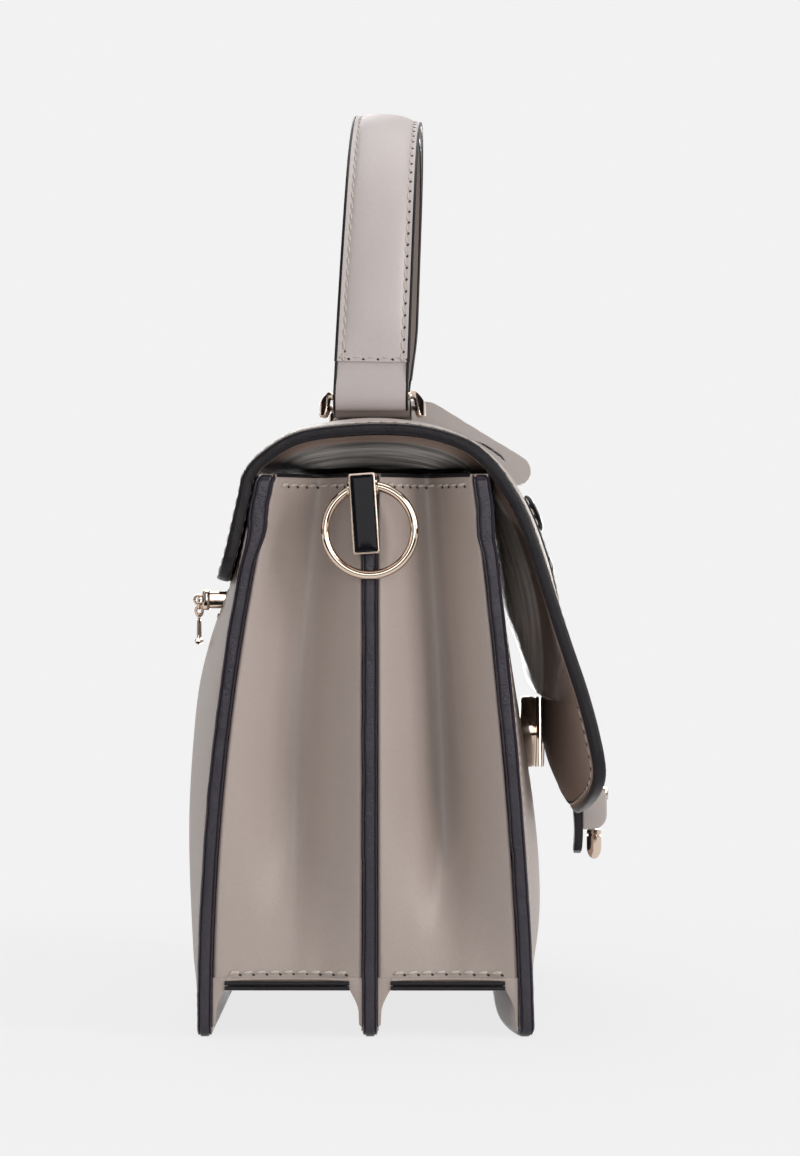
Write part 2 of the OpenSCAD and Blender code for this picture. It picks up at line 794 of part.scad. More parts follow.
// Handle arch through the upper bars of both rings
bar_shift = -ring_pitch * cos(ring_rest);
bar_z = tab_axis_z + ring_pitch * sin(ring_rest);
arch_power_share = 2.3;
arch_rows = 36;
handle_column_shares = [-1, -0.6, 0, 0.6, 1];
pad_end_share = 0.1;
function arch_x(share) =
    let (c = cos(180 * share))
    bar_shift - tab_x * sign(c) * pow(abs(c), 2 / arch_power_share);
function arch_z(share) = bar_z + arch_h * pow(sin(180 * share), 2 / arch_power_share);
function arch_point(share, column) =
    let (z = arch_z(share), rise = (z - bar_z) / arch_h,
        half = blend(handle_w, handle_top_w, rise) / 2)
    [arch_x(share), -handle_lean * rise - column * half, z];
share_step = 0.002;
function arch_normal(share) =
    let (d = arch_point(min(1, share + share_step), 0) - arch_point(max(0, share - share_step), 0))
    unit([-d[2], 0, d[0]]);
function arch_grid(start, height, crown, narrow) = [for (r = [0 : arch_rows])
    let (share = blend(start, 1 - start, r / arch_rows), window = sin(180 * (r / arch_rows)))
    [for (column = handle_column_shares)
        arch_point(share, column * narrow)
            + (height + crown * (1 - column * column) * pow(window, 0.3)) * arch_normal(share)]];
loop_r = wire_r + bar_gap;
strap_start_share = 0.002;
lining_start_share = 0.018;

module handle_strap() {
    color("#b9afad")
        difference() {
            union() {
                sheet(arch_grid(strap_start_share, loop_r + leather_t, pad_crown, 1),
                    arch_grid(strap_start_share, loop_r, pad_crown, 1));
                for (side = [-1, 1])
                    translate([bar_shift + side * tab_x, handle_w / 2, bar_z])
                        rotate([90, 0, 0])
                            cylinder(r = loop_r + leather_t, h = handle_w, $fn = round_fn);
            }
            for (side = [-1, 1])
                translate([bar_shift + side * tab_x, handle_w, bar_z])
                    rotate([90, 0, 0])
                        cylinder(r = loop_r, h = 2 * handle_w, $fn = round_fn);
        }
}

module handle_lining() {
    color("#b0a5a2")
        sheet(arch_grid(lining_start_share, -loop_r, 0, 1),
            arch_grid(lining_start_share, -loop_r - leather_t, 0, 1));
}

pad_narrow_share = 0.74;
module handle_padding() {
    color("#d9d4cc")
        sheet(arch_grid(pad_end_share / 2, loop_r - ply_gap, pad_crown / 2, pad_narrow_share),
            arch_grid(pad_end_share / 2, ply_gap - loop_r, 0, pad_narrow_share));
}

// Belt over the middle of the flap
tongue_cells = 16;
function belt_grid(start, end, half, height) = [for (r = [0 : tongue_cells]) [for (side = [-1, 0, 1])
    flap_shell(side * half, blend(start, end, r / tongue_cells), height)]];

module flap_strip(start, end, half, low, high) {
    sheet(belt_grid(start, end, half, high), belt_grid(start, end, half, low));
}

tongue_shares = [0.048, 0.438];
module belt_tongue() {
    color("#a9a09c")
        flap_strip(on_path(tongue_shares[0]), on_path(tongue_shares[1]), belt_w / 2,
            flap_t + seat_gap, flap_t + seat_gap + belt_t);
}

// A stiff loop of belt that bridges from the crown to the front
loop_cells = 8;
loop_rise = 9;
loop_rise_shares = [1, 1.04, 0.84, 0.71, 0.68, 0.72, 0.85, 1.06, 1];
loop_shares = [0.457, 0.6];
function bridge_grid(low) = [for (r = [0 : loop_cells]) [for (side = [-1, 0, 1])
    flap_shell(side * belt_w / 2, on_path(blend(loop_shares[0], loop_shares[1], r / loop_cells)),
        flap_t + seat_gap + (low ? 0 : loop_rise * loop_rise_shares[r]))]];

module belt_loop() {
    color("#a9a09c")
        sheet(bridge_grid(false), bridge_grid(true));
}

knob_r = 7;
knob_t = 4.6;
knob_share = 0.424;
stud_r = 4;
stud_t = 2.6;
stud_share = 0.369;

// A round stud on the belt, square to the flap
module stud_on_belt(share, r, thick) {
    base = flap_shell(0, on_path(share), flap_t + 2 * seat_gap + belt_t);
    n = flap_normal(0, on_path(share));
    translate(base)
        rotate([atan2(norm([n[0], n[1]]), n[2]), 0, 0])
            cylinder(r = r, h = thick, $fn = small_fn);
}

module belt_knob() {
    color("#2a282b")
        stud_on_belt(knob_share, knob_r, knob_t);
}

module belt_studs() {
    color("#2a282b")
        stud_on_belt(stud_share, stud_r, stud_t);
}

// Tail below the flap's tip
tail_w = 12;
block_h = 13.8;
block_t = 8.6;
tail_y = min(flap_shell(0, 0, flap_t + seat_gap)[1],
    flap_shell(0, on_path(tongue_shares[0]), flap_t + 2 * seat_gap + belt_t)[1]);
block_lap = 2.6;
block_top = flap_point(0, on_path(tongue_shares[0]))[2] + block_lap;
tail_strap_t = 3;
tail_strap_h = 16;
tail_pin_r = 2.6;
tail_pin_h = 10.6;
tail_pin_cone = 2.6;

module tail_block() {
    color("#a9a09c")
        translate([-tail_w / 2, tail_y - block_t, block_top - block_h])
            cube([tail_w, block_t, block_h]);
}

module tail_strap() {
    color("#3b373a")
        translate([-tail_w / 2, tail_y + seat_gap, flap_tip_z - seat_gap - tail_strap_h])
            cube([tail_w, tail_strap_t, tail_strap_h]);
}

module tail_pin() {
    color("#c9ab90")
        translate([0, tail_y - block_t / 2, block_top - block_h - seat_gap])
            rotate([180, 0, 0]) {
                cylinder(r = tail_pin_r, h = tail_pin_h - tail_pin_cone, $fn = small_fn);
                translate([0, 0, tail_pin_h - tail_pin_cone])
                    cylinder(r1 = tail_pin_r, r2 = tail_pin_r / 2, h = tail_pin_cone, $fn = small_fn);
            }
}

back_panel();
back_board();
back_lining();
back_edging();
centre_divider();
centre_board();
centre_edging();
front_panel();
front_board();
front_lining();
front_edging();
near_rear_gusset();
near_front_gusset();
far_rear_gusset();
far_front_gusset();
rear_base();
front_base();
rear_base_board();
front_base_board();
flap_anchor();
zip_tape();
zip_teeth();
pocket_bag();
zip_slider();
zip_pull();
near_side_clip();
near_inlay();
near_side_ring();
far_side_clip();
far_inlay();
far_side_ring();
lock_socket();
lock_magnet();
lock_washer();
lock_plate();
flap_panel();
flap_board();
flap_lining();
flap_edging();
near_handle_tab();
far_handle_tab();
tab_rivets();
near_handle_ring();
far_handle_ring();
handle_strap();
handle_lining();
handle_padding();
belt_loop();
belt_tongue();
belt_knob();
belt_studs();
tail_block();
tail_strap();
tail_pin();
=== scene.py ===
"""Looks of the top handle bag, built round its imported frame.

Shapes are worked out in millimetres and made into meshes in metres.
Z is up, X runs along the bag's width and the front faces -Y.
"""

import math

import bmesh
import bpy
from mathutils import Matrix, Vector, noise


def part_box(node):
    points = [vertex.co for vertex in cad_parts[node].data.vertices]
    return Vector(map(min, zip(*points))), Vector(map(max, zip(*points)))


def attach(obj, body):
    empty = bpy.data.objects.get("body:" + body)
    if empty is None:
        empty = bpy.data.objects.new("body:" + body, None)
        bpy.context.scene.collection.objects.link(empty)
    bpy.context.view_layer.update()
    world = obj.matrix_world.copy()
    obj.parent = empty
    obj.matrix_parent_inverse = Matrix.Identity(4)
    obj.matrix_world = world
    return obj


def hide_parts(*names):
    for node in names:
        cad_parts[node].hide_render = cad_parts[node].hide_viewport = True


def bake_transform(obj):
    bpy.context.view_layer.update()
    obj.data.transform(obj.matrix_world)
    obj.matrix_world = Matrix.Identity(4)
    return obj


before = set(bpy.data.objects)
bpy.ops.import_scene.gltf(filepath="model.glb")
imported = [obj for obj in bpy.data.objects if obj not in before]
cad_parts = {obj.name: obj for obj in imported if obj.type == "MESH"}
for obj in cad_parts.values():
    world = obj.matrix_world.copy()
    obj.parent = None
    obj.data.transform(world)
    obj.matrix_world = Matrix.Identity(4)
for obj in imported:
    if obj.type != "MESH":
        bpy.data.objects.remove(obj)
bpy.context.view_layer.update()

MM = 0.001
HAIR = 0.01

# Sizes of the bag, the same as in its construction
BAG_WIDTH = 250.0
LEAF_HEIGHT = 182.0
LEATHER = 1.4
BOARD = 1.6
LINING = 1.1
EDGING = 1.2
PLY_GAP = 0.1
SEAT_GAP = 0.2
LEAF_HALF = BOARD / 2 + PLY_GAP + LEATHER
LEAF_X = BAG_WIDTH / 2 - EDGING - PLY_GAP
LEAF_FOOT = EDGING + PLY_GAP
FLAP_WIDTH = BAG_WIDTH + 2
FLAP_THICK = LEATHER + PLY_GAP + LINING + PLY_GAP + LINING
HINGE_Z = LEAF_HEIGHT - 6
FLAP_END_Z = HINGE_Z - 29
TIP_Z = 67.4
TIP_HEIGHT = 24.0
ZIP_Z = FLAP_END_Z - 6
ZIP_HALF = 65.0
ZIP_WINDOW = 7.0
BASE_Z = 15.2
BASE_TOP = BASE_Z + 2 * LEATHER + PLY_GAP
GUSSET_FOOT = BASE_TOP + SEAT_GAP
FLANGE = 8.0
FOLD_DEPTH = 12.0
TAB_X = 61.25
HANDLE_WIDTH = 26.4
HANDLE_TOP_WIDTH = 25.6
HANDLE_LEAN = 5.0
ARCH_HEIGHT = 97.0
WIRE = 1.5
LOOP = WIRE + 0.08
RING_PITCH = 9.0
RING_REST = 25.0
LOCK_Z = 94.0
BELT_WIDTH = 24.0
BELT_THICK = 2.0
CLIP_HOLE_Z = LEAF_HEIGHT - 4.4
CLIP_WIDTH = 8.7
CLIP_FOOT = 156.1
CLIP_TOP = 182.1
CLIP_FACE_X = -133.133
CLIP_BACK_X = -125.2
SIDE_RING_X = 128.566
SIDE_RING_Z = 163.73
SIDE_RING_RADIUS = 14.4
PULL_Y = 59.032
TONGUE_START = 0.048
TONGUE_END = 0.438
LOOP_START = 0.457
LOOP_END = 0.6
LOOP_HEIGHT = 9.0
KNOB_AT = 0.424
STUD_AT = 0.369

# How the leaves and the flap stand and swell
REAR_FOOT_Y = 53.5
REAR_LEAN = 20.0
REAR_SWELL = 12.0
FRONT_FOOT_Y = -50.8
FRONT_LEAN = 15.0
FRONT_SWELL = 5.8
FRONT_TOE = 9.0
REAR_CREASE = 3.5
FRONT_CREASE = 7.0
FLAP_SWELL = 8.0
FLAP_LIFT = 14.5
CROWN_MIDDLE = 16.6
CROWN_SIDE = 12.3
PATH_STEP = 9.67
FACING_FOOT_Z = 107.4
FACING_REACH = 1.2
FACING_CLEAR = 0.6
CROWN_AT = 9

# Details that only the looks have
LEAF_CORNER = 3.0
GUSSET_ROLL = 1.8
FOLD_SHADE_X = 109.8
BAND_WIDENS_Z = 150.0
BAND_KINK_Z = 163.0
SEAM_INSET = 4.2
TOP_SEAM_Z = LEAF_HEIGHT - 3.4
FOOT_SEAM_Z = GUSSET_FOOT + 2.4
BASE_SHORT = 0.2
BASE_CORNER = 5.0
END_CORNER = 9.0
FLAP_COLUMNS = 64
FLAP_ROWS = 150
HANDLE_TILT = math.radians(5.5)
HANDLE_TWIST = 1.7
FOOT_INSET = 0.6
TOP_INSET = 1.2
PAD_END = 0.0278
PAD_SEAM = 0.79
STRAP_SHARE = 0.985
STRAP_FOLD_DROP = 1.7
RING_WIRE = 1.45
TAB_END = TAB_X - 26
TAB_HALF = HANDLE_WIDTH / 2 - 0.5
CLIP_TILT = math.radians(3.9)
CLIP_SHIFT = 0.9
SIDES = ((-1, "near"), (1, "far"))


def put(name, data):
    """A new object in the scene."""
    thing = bpy.data.objects.new(name, data)
    bpy.context.scene.collection.objects.link(thing)
    return thing


def make_camera():
    """The photograph's view of the bag's side."""
    optics = bpy.data.cameras.new("side_camera")
    optics.lens = 124.5
    optics.sensor_width = 36
    optics.clip_start = 0.05
    optics.clip_end = 50
    camera = put("side_camera", optics)
    camera.location = (-1.415, -0.0194, 0.1484)
    camera.rotation_euler = (math.pi / 2, 0, -math.pi / 2 + math.radians(0.43))
    bpy.context.scene.camera = camera


make_camera()


# Node trees and shader recipes


class Amount:
    """A value that a node gives. Arithmetic on it adds Math nodes."""

    def __init__(self, nodes, socket):
        self.nodes = nodes
        self.socket = socket

    def math(self, operation, *values):
        return self.nodes.add("ShaderNodeMath", {"operation": operation}, dict(enumerate(values)))

    def __add__(self, other):
        return self.math("ADD", self, other)

    def __radd__(self, other):
        return self.math("ADD", other, self)

    def __sub__(self, other):
        return self.math("SUBTRACT", self, other)

    def __rsub__(self, other):
        return self.math("SUBTRACT", other, self)

    def __mul__(self, other):
        return self.math("MULTIPLY", self, other)

    def __rmul__(self, other):
        return self.math("MULTIPLY", other, self)

    def clamped(self):
        return self.math("MINIMUM", self.math("MAXIMUM", self, 0.0), 1.0)


class Nodes:
    """Adds nodes to a tree, with settings, and with values or links for their inputs."""

    def __init__(self, tree):
        self.tree = tree

    def feed(self, socket, value):
        if isinstance(value, Amount):
            self.tree.links.new(value.socket, socket)
        else:
            socket.default_value = value

    def add(self, kind, settings=None, values=None, out=0):
        node = self.tree.nodes.new(kind)
        for name, value in (settings or {}).items():
            setattr(node, name, value)
        for key, value in (values or {}).items():
            self.feed(node.inputs[key], value)
        return Amount(self, node.outputs[out])


class Recipe(Nodes):
    """A material, or another owner of a node tree, under construction."""

    def __init__(self, name, owner=None):
        self.owner = owner or bpy.data.materials.new(name)
        self.owner.use_nodes = True
        super().__init__(self.owner.node_tree)
        self.tree.nodes.clear()

    def place(self, stretch=(1, 1, 1)):
        """Object coordinates, in metres, stretched along each axis."""
        coordinates = self.add("ShaderNodeTexCoord", out="Object")
        return self.add("ShaderNodeMapping", values={"Vector": coordinates, "Scale": stretch})

    def part(self, vector, axis):
        """One part of a vector: 0, 1 or 2 for X, Y or Z."""
        return self.add("ShaderNodeSeparateXYZ", values={0: vector}, out=axis)

    def cloud(self, scale, detail=3.0, stretch=(1, 1, 1)):
        """Soft noise from 0 to 1."""
        values = {"Vector": self.place(stretch), "Scale": scale, "Detail": detail, "Roughness": 0.5}
        return self.add("ShaderNodeTexNoise", values=values)

    def cells(self, scale):
        """Distance from the middle of small irregular cells."""
        return self.add("ShaderNodeTexVoronoi", values={"Vector": self.place(), "Scale": scale})

    def waves(self, scale, direction="X"):
        """Even waves from 0 to 1 along a direction."""
        values = {"Vector": self.place(), "Scale": scale}
        return self.add("ShaderNodeTexWave", {"bands_direction": direction}, values)

    def between(self, share, first, second):
        """One colour that turns into another as share goes from 0 to 1."""
        values = {0: share, 6: first, 7: second}
        return self.add("ShaderNodeMix", {"data_type": "RGBA"}, values, out=2)

    def shades(self, share, colour, low, high):
        """A colour between two of its shades as share goes from 0 to 1."""
        return self.between(share, darker(colour, low), darker(colour, high))

    def bumped(self, height, depth):
        """A surface direction from a height from 0 to 1 and its depth in metres."""
        values = {"Strength": 1.0, "Distance": depth, "Height": height}
        return self.add("ShaderNodeBump", values=values)

    def surface(self, shader, kind="ShaderNodeOutputMaterial"):
        """Links a finished shader to its output."""
        output = self.tree.nodes.new(kind)
        self.feed(output.inputs[0], shader)
        return self.owner

    def finish(self, colour, roughness, normal, metal=0.0, sheen=0.0, shine=0.5):
        values = {"Base Color": colour, "Roughness": roughness, "Metallic": metal, "Normal": normal,
                  "Sheen Weight": sheen, "Specular IOR Level": shine}
        return self.surface(self.add("ShaderNodeBsdfPrincipled", values=values))


def tone(red, green, blue):
    """A colour as it shows on screen, from 0 to 255, as the shaders take it."""

    def linear(value):
        value = value / 255
        return value / 12.92 if value <= 0.04045 else ((value + 0.055) / 1.055) ** 2.4

    return (linear(red), linear(green), linear(blue), 1.0)


def darker(colour, share):
    return tuple(c * share for c in colour[:3]) + (1.0,)


def smooth_leather(name, colour, roughness=0.42, grain=1.0, shaded_folds=False):
    """Taupe calf leather with a fine pressed grain and faint clouding, and painted shade that
    darkens it deep in a fold.
    """
    recipe = Recipe(name)
    grains = recipe.cells(900)
    fine = recipe.cloud(2600, 2)
    clouding = recipe.cloud(18)
    pores = (1.0 - grains * 1.3).clamped() * 0.7 + fine * 0.3
    shade = recipe.shades(clouding, colour, 0.93, 1.06)
    shade = recipe.between(pores * 0.18, shade, darker(colour, 0.8))
    # Painted shade: darker towards the bag's middle, deep in a gusset's fold.
    if shaded_folds:
        along = recipe.part(recipe.add("ShaderNodeTexCoord", out="Object"), 0)
        deep = ((FOLD_SHADE_X * MM - along.math("ABSOLUTE", along)) * 180.0).clamped()
        shade = recipe.between(deep * 0.4, shade, darker(colour, 0.2))
    rough = clouding * 0.12 + (roughness - 0.06) + fine * 0.05
    return recipe.finish(shade, rough, recipe.bumped(pores, 0.00006 * grain), shine=0.4)


def painted_edge(name, colour, roughness=0.34, shine=0.4):
    """Thick dark edge paint, slightly lumpy, rubbed lighter in random patches."""
    recipe = Recipe(name)
    lumps = recipe.cloud(160, 3, (1, 1, 0.6))
    specks = recipe.cloud(1500, 2)
    worn = (recipe.cloud(60, 2) * 2.0 - 0.85).clamped()
    shade = recipe.between(worn * 0.6, colour, darker(colour, 1.5))
    height = lumps * 0.7 + specks * 0.3
    rough = specks * 0.12 + (roughness - 0.06)
    return recipe.finish(shade, rough, recipe.bumped(height, 0.0004), shine=shine)


def woven_lining(name, colour):
    """Brown lining cloth with a fine plain weave."""
    recipe = Recipe(name)
    weave = recipe.waves(420.0) * 0.5 + recipe.waves(420.0, "Z") * 0.5
    clouding = recipe.cloud(25)
    shade = recipe.shades(clouding, colour, 0.85, 1.12)
    shade = recipe.between(weave * 0.35, shade, darker(colour, 0.6))
    return recipe.finish(shade, clouding * 0.1 + 0.7, recipe.bumped(weave, 0.00006), shine=0.2)


def polished_facing(name, colour, rim_colour):
    """Glossy dark facing inside the flap: painted reflection streaks along it, painted light that
    makes it paler in front, and a brown rim.
    """
    recipe = Recipe(name)
    lie = recipe.add("ShaderNodeAttribute", {"attribute_name": "lie"}, out=1)
    place, depth = recipe.part(lie, 0), recipe.part(lie, 1)
    stretched = recipe.add("ShaderNodeMapping", values={"Vector": lie, "Scale": (9.0, 0.9, 0.4)})
    values = {"Vector": stretched, "Scale": 1.0, "Detail": 5.0}
    streaks = recipe.add("ShaderNodeTexNoise", values=values)
    fine = recipe.cloud(700, 2)
    # Painted reflection: lighter and darker streaks, as a glossy film would catch light.
    painted_sheen = (streaks * 3.6 - 1.3).clamped()
    # Painted light: the front part, towards the flap's foot, is made much paler, as if lit.
    front = ((0.48 - place) * 8.0).clamped()
    shade = recipe.shades(painted_sheen, colour, 0.35, 1.25)
    shade = recipe.between(front, shade, recipe.shades(painted_sheen, colour, 2.0, 3.1))
    shade = recipe.between(((depth - 2.4) * 1.6).clamped(), rim_colour, shade)
    height = streaks * 0.85 + fine * 0.15
    rough = streaks * 0.2 + 0.3 - front * 0.16
    return recipe.finish(shade, rough, recipe.bumped(height, 0.0005), shine=0.45)


def rose_gold(name, colour, roughness=0.09):
    """Polished rose gold plating with hairline marks."""
    recipe = Recipe(name)
    hairs = recipe.cloud(900, 2, (0.15, 1, 1))
    smears = recipe.cloud(90)
    shade = recipe.shades(smears, colour, 0.92, 1.05)
    rough = smears * 0.08 + hairs * 0.05 + (roughness - 0.06)
    return recipe.finish(shade, rough, recipe.bumped(hairs, 0.000008), metal=1.0)


def black_enamel(name, colour):
    """Poured black enamel, glossy with faint ripples."""
    recipe = Recipe(name)
    ripples = recipe.cloud(140, 2)
    dust = recipe.cloud(2500, 1)
    shade = recipe.between((dust * 3.0 - 1.6).clamped() * 0.3, colour, darker(colour, 2.2))
    return recipe.finish(shade, dust * 0.05 + 0.06, recipe.bumped(ripples, 0.00002), shine=0.12)


def twisted_thread(name, colour):
    """Waxed thread with its twist showing."""
    recipe = Recipe(name)
    twist = recipe.waves(900.0, "DIAGONAL")
    shade = recipe.between(twist * 0.6, colour, darker(colour, 0.55))
    return recipe.finish(shade, twist * 0.2 + 0.5, recipe.bumped(twist, 0.00005), sheen=0.1)


def pressed_board(name, colour):
    """Grey-brown fibre board."""
    recipe = Recipe(name)
    fibres = recipe.cloud(400, 4, (1, 1, 0.3))
    shade = recipe.shades(fibres, colour, 0.8, 1.15)
    return recipe.finish(shade, fibres * 0.1 + 0.75, recipe.bumped(fibres, 0.0001))


def zip_cloth(name, colour):
    """Ribbed zip tape."""
    recipe = Recipe(name)
    ribs = recipe.waves(350.0)
    fuzz = recipe.cloud(900, 2)
    shade = recipe.between(ribs * 0.5, colour, darker(colour, 0.6))
    return recipe.finish(shade, fuzz * 0.15 + 0.68, recipe.bumped(ribs, 0.0001))


def ferrite(name, colour):
    """Grey magnet with ground marks."""
    recipe = Recipe(name)
    marks = recipe.cloud(500, 3, (0.1, 1, 1))
    shade = recipe.shades(marks, colour, 0.8, 1.2)
    return recipe.finish(shade, marks * 0.2 + 0.35, recipe.bumped(marks, 0.00003), metal=0.6)


def soft_foam(name, colour):
    """Open foam padding."""
    recipe = Recipe(name)
    pores = recipe.cells(1200)
    shade = recipe.between((pores * 1.4).clamped(), darker(colour, 0.75), colour)
    return recipe.finish(shade, pores * 0.05 + 0.8, recipe.bumped(pores, 0.0002))


FINISHES = {
    "leather": smooth_leather("taupe_leather", tone(176, 163, 156)),
    # The gusset leather carries painted shade deep in its folds.
    "gusset": smooth_leather("gusset_leather_fold_shade", tone(172, 158, 150), 0.36, shaded_folds=True),
    "handle": smooth_leather("handle_leather", tone(197, 187, 184), 0.38, 0.5),
    "belt": smooth_leather("belt_leather", tone(183, 174, 169), 0.42, 0.6),
    "edge": painted_edge("painted_edge", tone(46, 41, 50), 0.25),
    "dark_edge": painted_edge("dark_painted_edge", tone(23, 19, 23), 0.34, 0.28),
    # The handle's inside: a darker lining tone, darkened further as painted shade.
    "handle_inside": smooth_leather("handle_inside_leather", tone(138, 124, 118), 0.45, 0.5),
    "lining": woven_lining("brown_lining", tone(158, 138, 127)),
    # The flap's facing has painted reflection streaks and painted light in front.
    "facing": polished_facing("polished_facing", tone(150, 146, 142), tone(150, 130, 119)),
    "gold": rose_gold("rose_gold", tone(222, 201, 184)),
    "enamel": black_enamel("black_enamel", tone(19, 18, 22)),
    "thread": twisted_thread("taupe_thread", tone(216, 205, 192)),
    # Needle holes are dark beads of painted shade.
    "hole": painted_edge("needle_hole", tone(40, 33, 31), 0.6),
    "board": pressed_board("fibre_board", tone(150, 138, 118)),
    "tape": zip_cloth("zip_tape_cloth", tone(60, 55, 57)),
    "magnet": ferrite("magnet_grey", tone(70, 68, 70)),
    "foam": soft_foam("padding_foam", tone(217, 212, 204)),
}


# Sums that several pieces share


def mix(a, b, share):
    return a * (1 - share) + b * share


def eased(share):
    share = min(1, max(0, share))
    return share * share * (3 - 2 * share)


def evenly(low, high, count):
    """Places from low to high, the same step apart."""
    return [mix(low, high, i / count) for i in range(count + 1)]


def spread(low, high, count, marks=()):
    """Evenly spread places with a few exact ones put in."""
    gap = (high - low) / count
    places = [low + gap * i for i in range(count + 1)]
    places = [p for p in places if all(abs(p - m) > gap * 0.35 for m in marks)]
    return sorted(places + list(marks))


def around(count):
    """Cosines and sines of even turns round a circle."""
    turns = [2 * math.pi * k / count for k in range(count)]
    return [(math.cos(turn), math.sin(turn)) for turn in turns]


def squarish(value, power):
    """A power that keeps the value's sign. Of a cosine and a sine it makes a squarish round."""
    return math.copysign(abs(value) ** power, value)


def round_end(share):
    """How far a rounded end falls short, from 1 at its tip to 0 where share reaches 1."""
    return 1 - math.sqrt(max(0, 1 - (1 - min(1, share)) ** 2))


def rounded_outline(half_a, half_b, rounding, steps=5):
    """A rectangle with rounded corners, as places from its middle."""
    outline = []
    for way_a, way_b, first in ((1, 1, 0), (-1, 1, 90), (-1, -1, 180), (1, -1, 270)):
        for i in range(steps):
            turn = math.radians(first + 90 * i / (steps - 1))
            outline.append((way_a * (half_a - rounding) + rounding * math.cos(turn),
                            way_b * (half_b - rounding) + rounding * math.sin(turn)))
    return outline


def paced(corners, gap, least=1):
    """Points along straight runs between corners, about a gap apart."""
    points = []
    for (a, b), (c, d) in zip(corners, corners[1:]):
        steps = max(least, round(math.dist((a, b), (c, d)) / gap))
        points += [(mix(a, c, k / steps), mix(b, d, k / steps)) for k in range(steps)]
    return points


def hump(value, middle, width):
    """A smooth hump, 1 at its middle."""
    return math.exp(-(((value - middle) / width) ** 2))


def waver(*place):
    """Smooth irregular values from about -1 to 1."""
    return noise.noise(Vector(place))


def box_of(node):
    """The low and high corner of a CAD node, in millimetres."""
    low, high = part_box(node)
    return low / MM, high / MM


# Mesh making


def faced_outwards(mesh):
    """Merges doubled points and turns every face outwards."""
    shape = bmesh.new()
    shape.from_mesh(mesh)
    bmesh.ops.remove_doubles(shape, verts=shape.verts, dist=1e-6)
    bmesh.ops.recalc_face_normals(shape, faces=shape.faces)
    shape.to_mesh(mesh)
    shape.free()


def settle(piece):
    """Makes a piece's modifiers part of its mesh."""
    graph = bpy.context.evaluated_depsgraph_get()
    mesh = bpy.data.meshes.new_from_object(piece.evaluated_get(graph))
    piece.modifiers.clear()
    piece.data = mesh


def make_piece(name, points, faces, finish, bevel=0.0, sharp=38):
    """A closed piece from points in millimetres."""
    mesh = bpy.data.meshes.new(name)
    mesh.from_pydata([tuple(c * MM for c in p) for p in points], [], faces)
    faced_outwards(mesh)
    piece = put(name, mesh)
    if bevel:
        soften = piece.modifiers.new("soften", "BEVEL")
        soften.width = bevel * MM
        soften.segments = 3
        soften.limit_method = "ANGLE"
        soften.angle_limit = math.radians(40)
        settle(piece)
    piece.data.shade_smooth()
    piece.data.set_sharp_from_angle(angle=math.radians(sharp))
    piece.data.materials.clear()
    piece.data.materials.append(FINISHES[finish])
    return piece


def sheet_faces(rows, columns, window=None):
    """Faces of a closed sheet of two grids, with an optional window of left-out cells."""
    count = rows * columns

    def left_out(r, c):
        return bool(window) and window[0] <= r < window[1] and window[2] <= c < window[3]

    def kept(r, c):
        return 0 <= r < rows - 1 and 0 <= c < columns - 1 and not left_out(r, c)

    faces = []
    for r in range(rows - 1):
        for c in range(columns - 1):
            if left_out(r, c):
                continue
            a, b = r * columns + c, r * columns + c + 1
            d, e = a + columns, b + columns
            faces.append((a, b, e, d))
            faces.append((a + count, d + count, e + count, b + count))
            if not kept(r - 1, c):
                faces.append((a, a + count, b + count, b))
            if not kept(r + 1, c):
                faces.append((d, e, e + count, d + count))
            if not kept(r, c - 1):
                faces.append((a, d, d + count, a + count))
            if not kept(r, c + 1):
                faces.append((b, b + count, e + count, e))
    return faces


def sheet(name, front, back, finish, window=None, **more):
    """A closed sheet between two grids of points."""
    points = [p for row in front for p in row] + [p for row in back for p in row]
    return make_piece(name, points, sheet_faces(len(front), len(front[0]), window), finish, **more)


def loft_parts(rings, closed=False, start=0):
    """Points and faces of a bar through a row of rings with the same number of points."""
    sides = len(rings[0])
    points = [p for ring in rings for p in ring]
    faces = []
    count = len(rings)
    for r in range(count if closed else count - 1):
        for c in range(sides):
            a, b = r * sides + c, r * sides + (c + 1) % sides
            d, e = (r + 1) % count * sides + c, (r + 1) % count * sides + (c + 1) % sides
            faces.append((a + start, b + start, e + start, d + start))
    if not closed:
        faces.append(tuple(start + c for c in range(sides)))
        faces.append(tuple(start + (count - 1) * sides + c for c in reversed(range(sides))))
    return points, faces


def loft(name, rings, finish, closed=False, **more):
    points, faces = loft_parts(rings, closed)
    return make_piece(name, points, faces, finish, **more)


def several_lofts(name, rows_of_rings, finish, closed=False, **more):
    """One piece of several bars."""
    points, faces = [], []
    for rings in rows_of_rings:
        more_points, more_faces = loft_parts(rings, closed, len(points))
        points += more_points
        faces += more_faces
    return make_piece(name, points, faces, finish, **more)


def prism(name, outline, low, high, finish, **more):
    """An outline seen from the side, drawn out along the bag's width."""
    return loft(name, [[(x, y, z) for y, z in outline] for x in (low, high)], finish, **more)


def turned_rings(profile, base, axis, steps=48):
    """Rings of a turned shape: its profile is radius and height along the axis.

    A radius of 0 stays open by a hair, so that every ring has the same number of points.
    """
    axis = Vector(axis).normalized()
    side = axis.orthogonal().normalized()
    other = axis.cross(side)
    rings = []
    for radius, height in profile:
        middle, reach = Vector(base) + axis * height, max(radius, HAIR)
        rings.append([middle + (side * c + other * s) * reach for c, s in around(steps)])
    return rings


def turned(name, profile, base, axis, finish, steps=48, **more):
    return loft(name, turned_rings(profile, base, axis, steps), finish, **more)


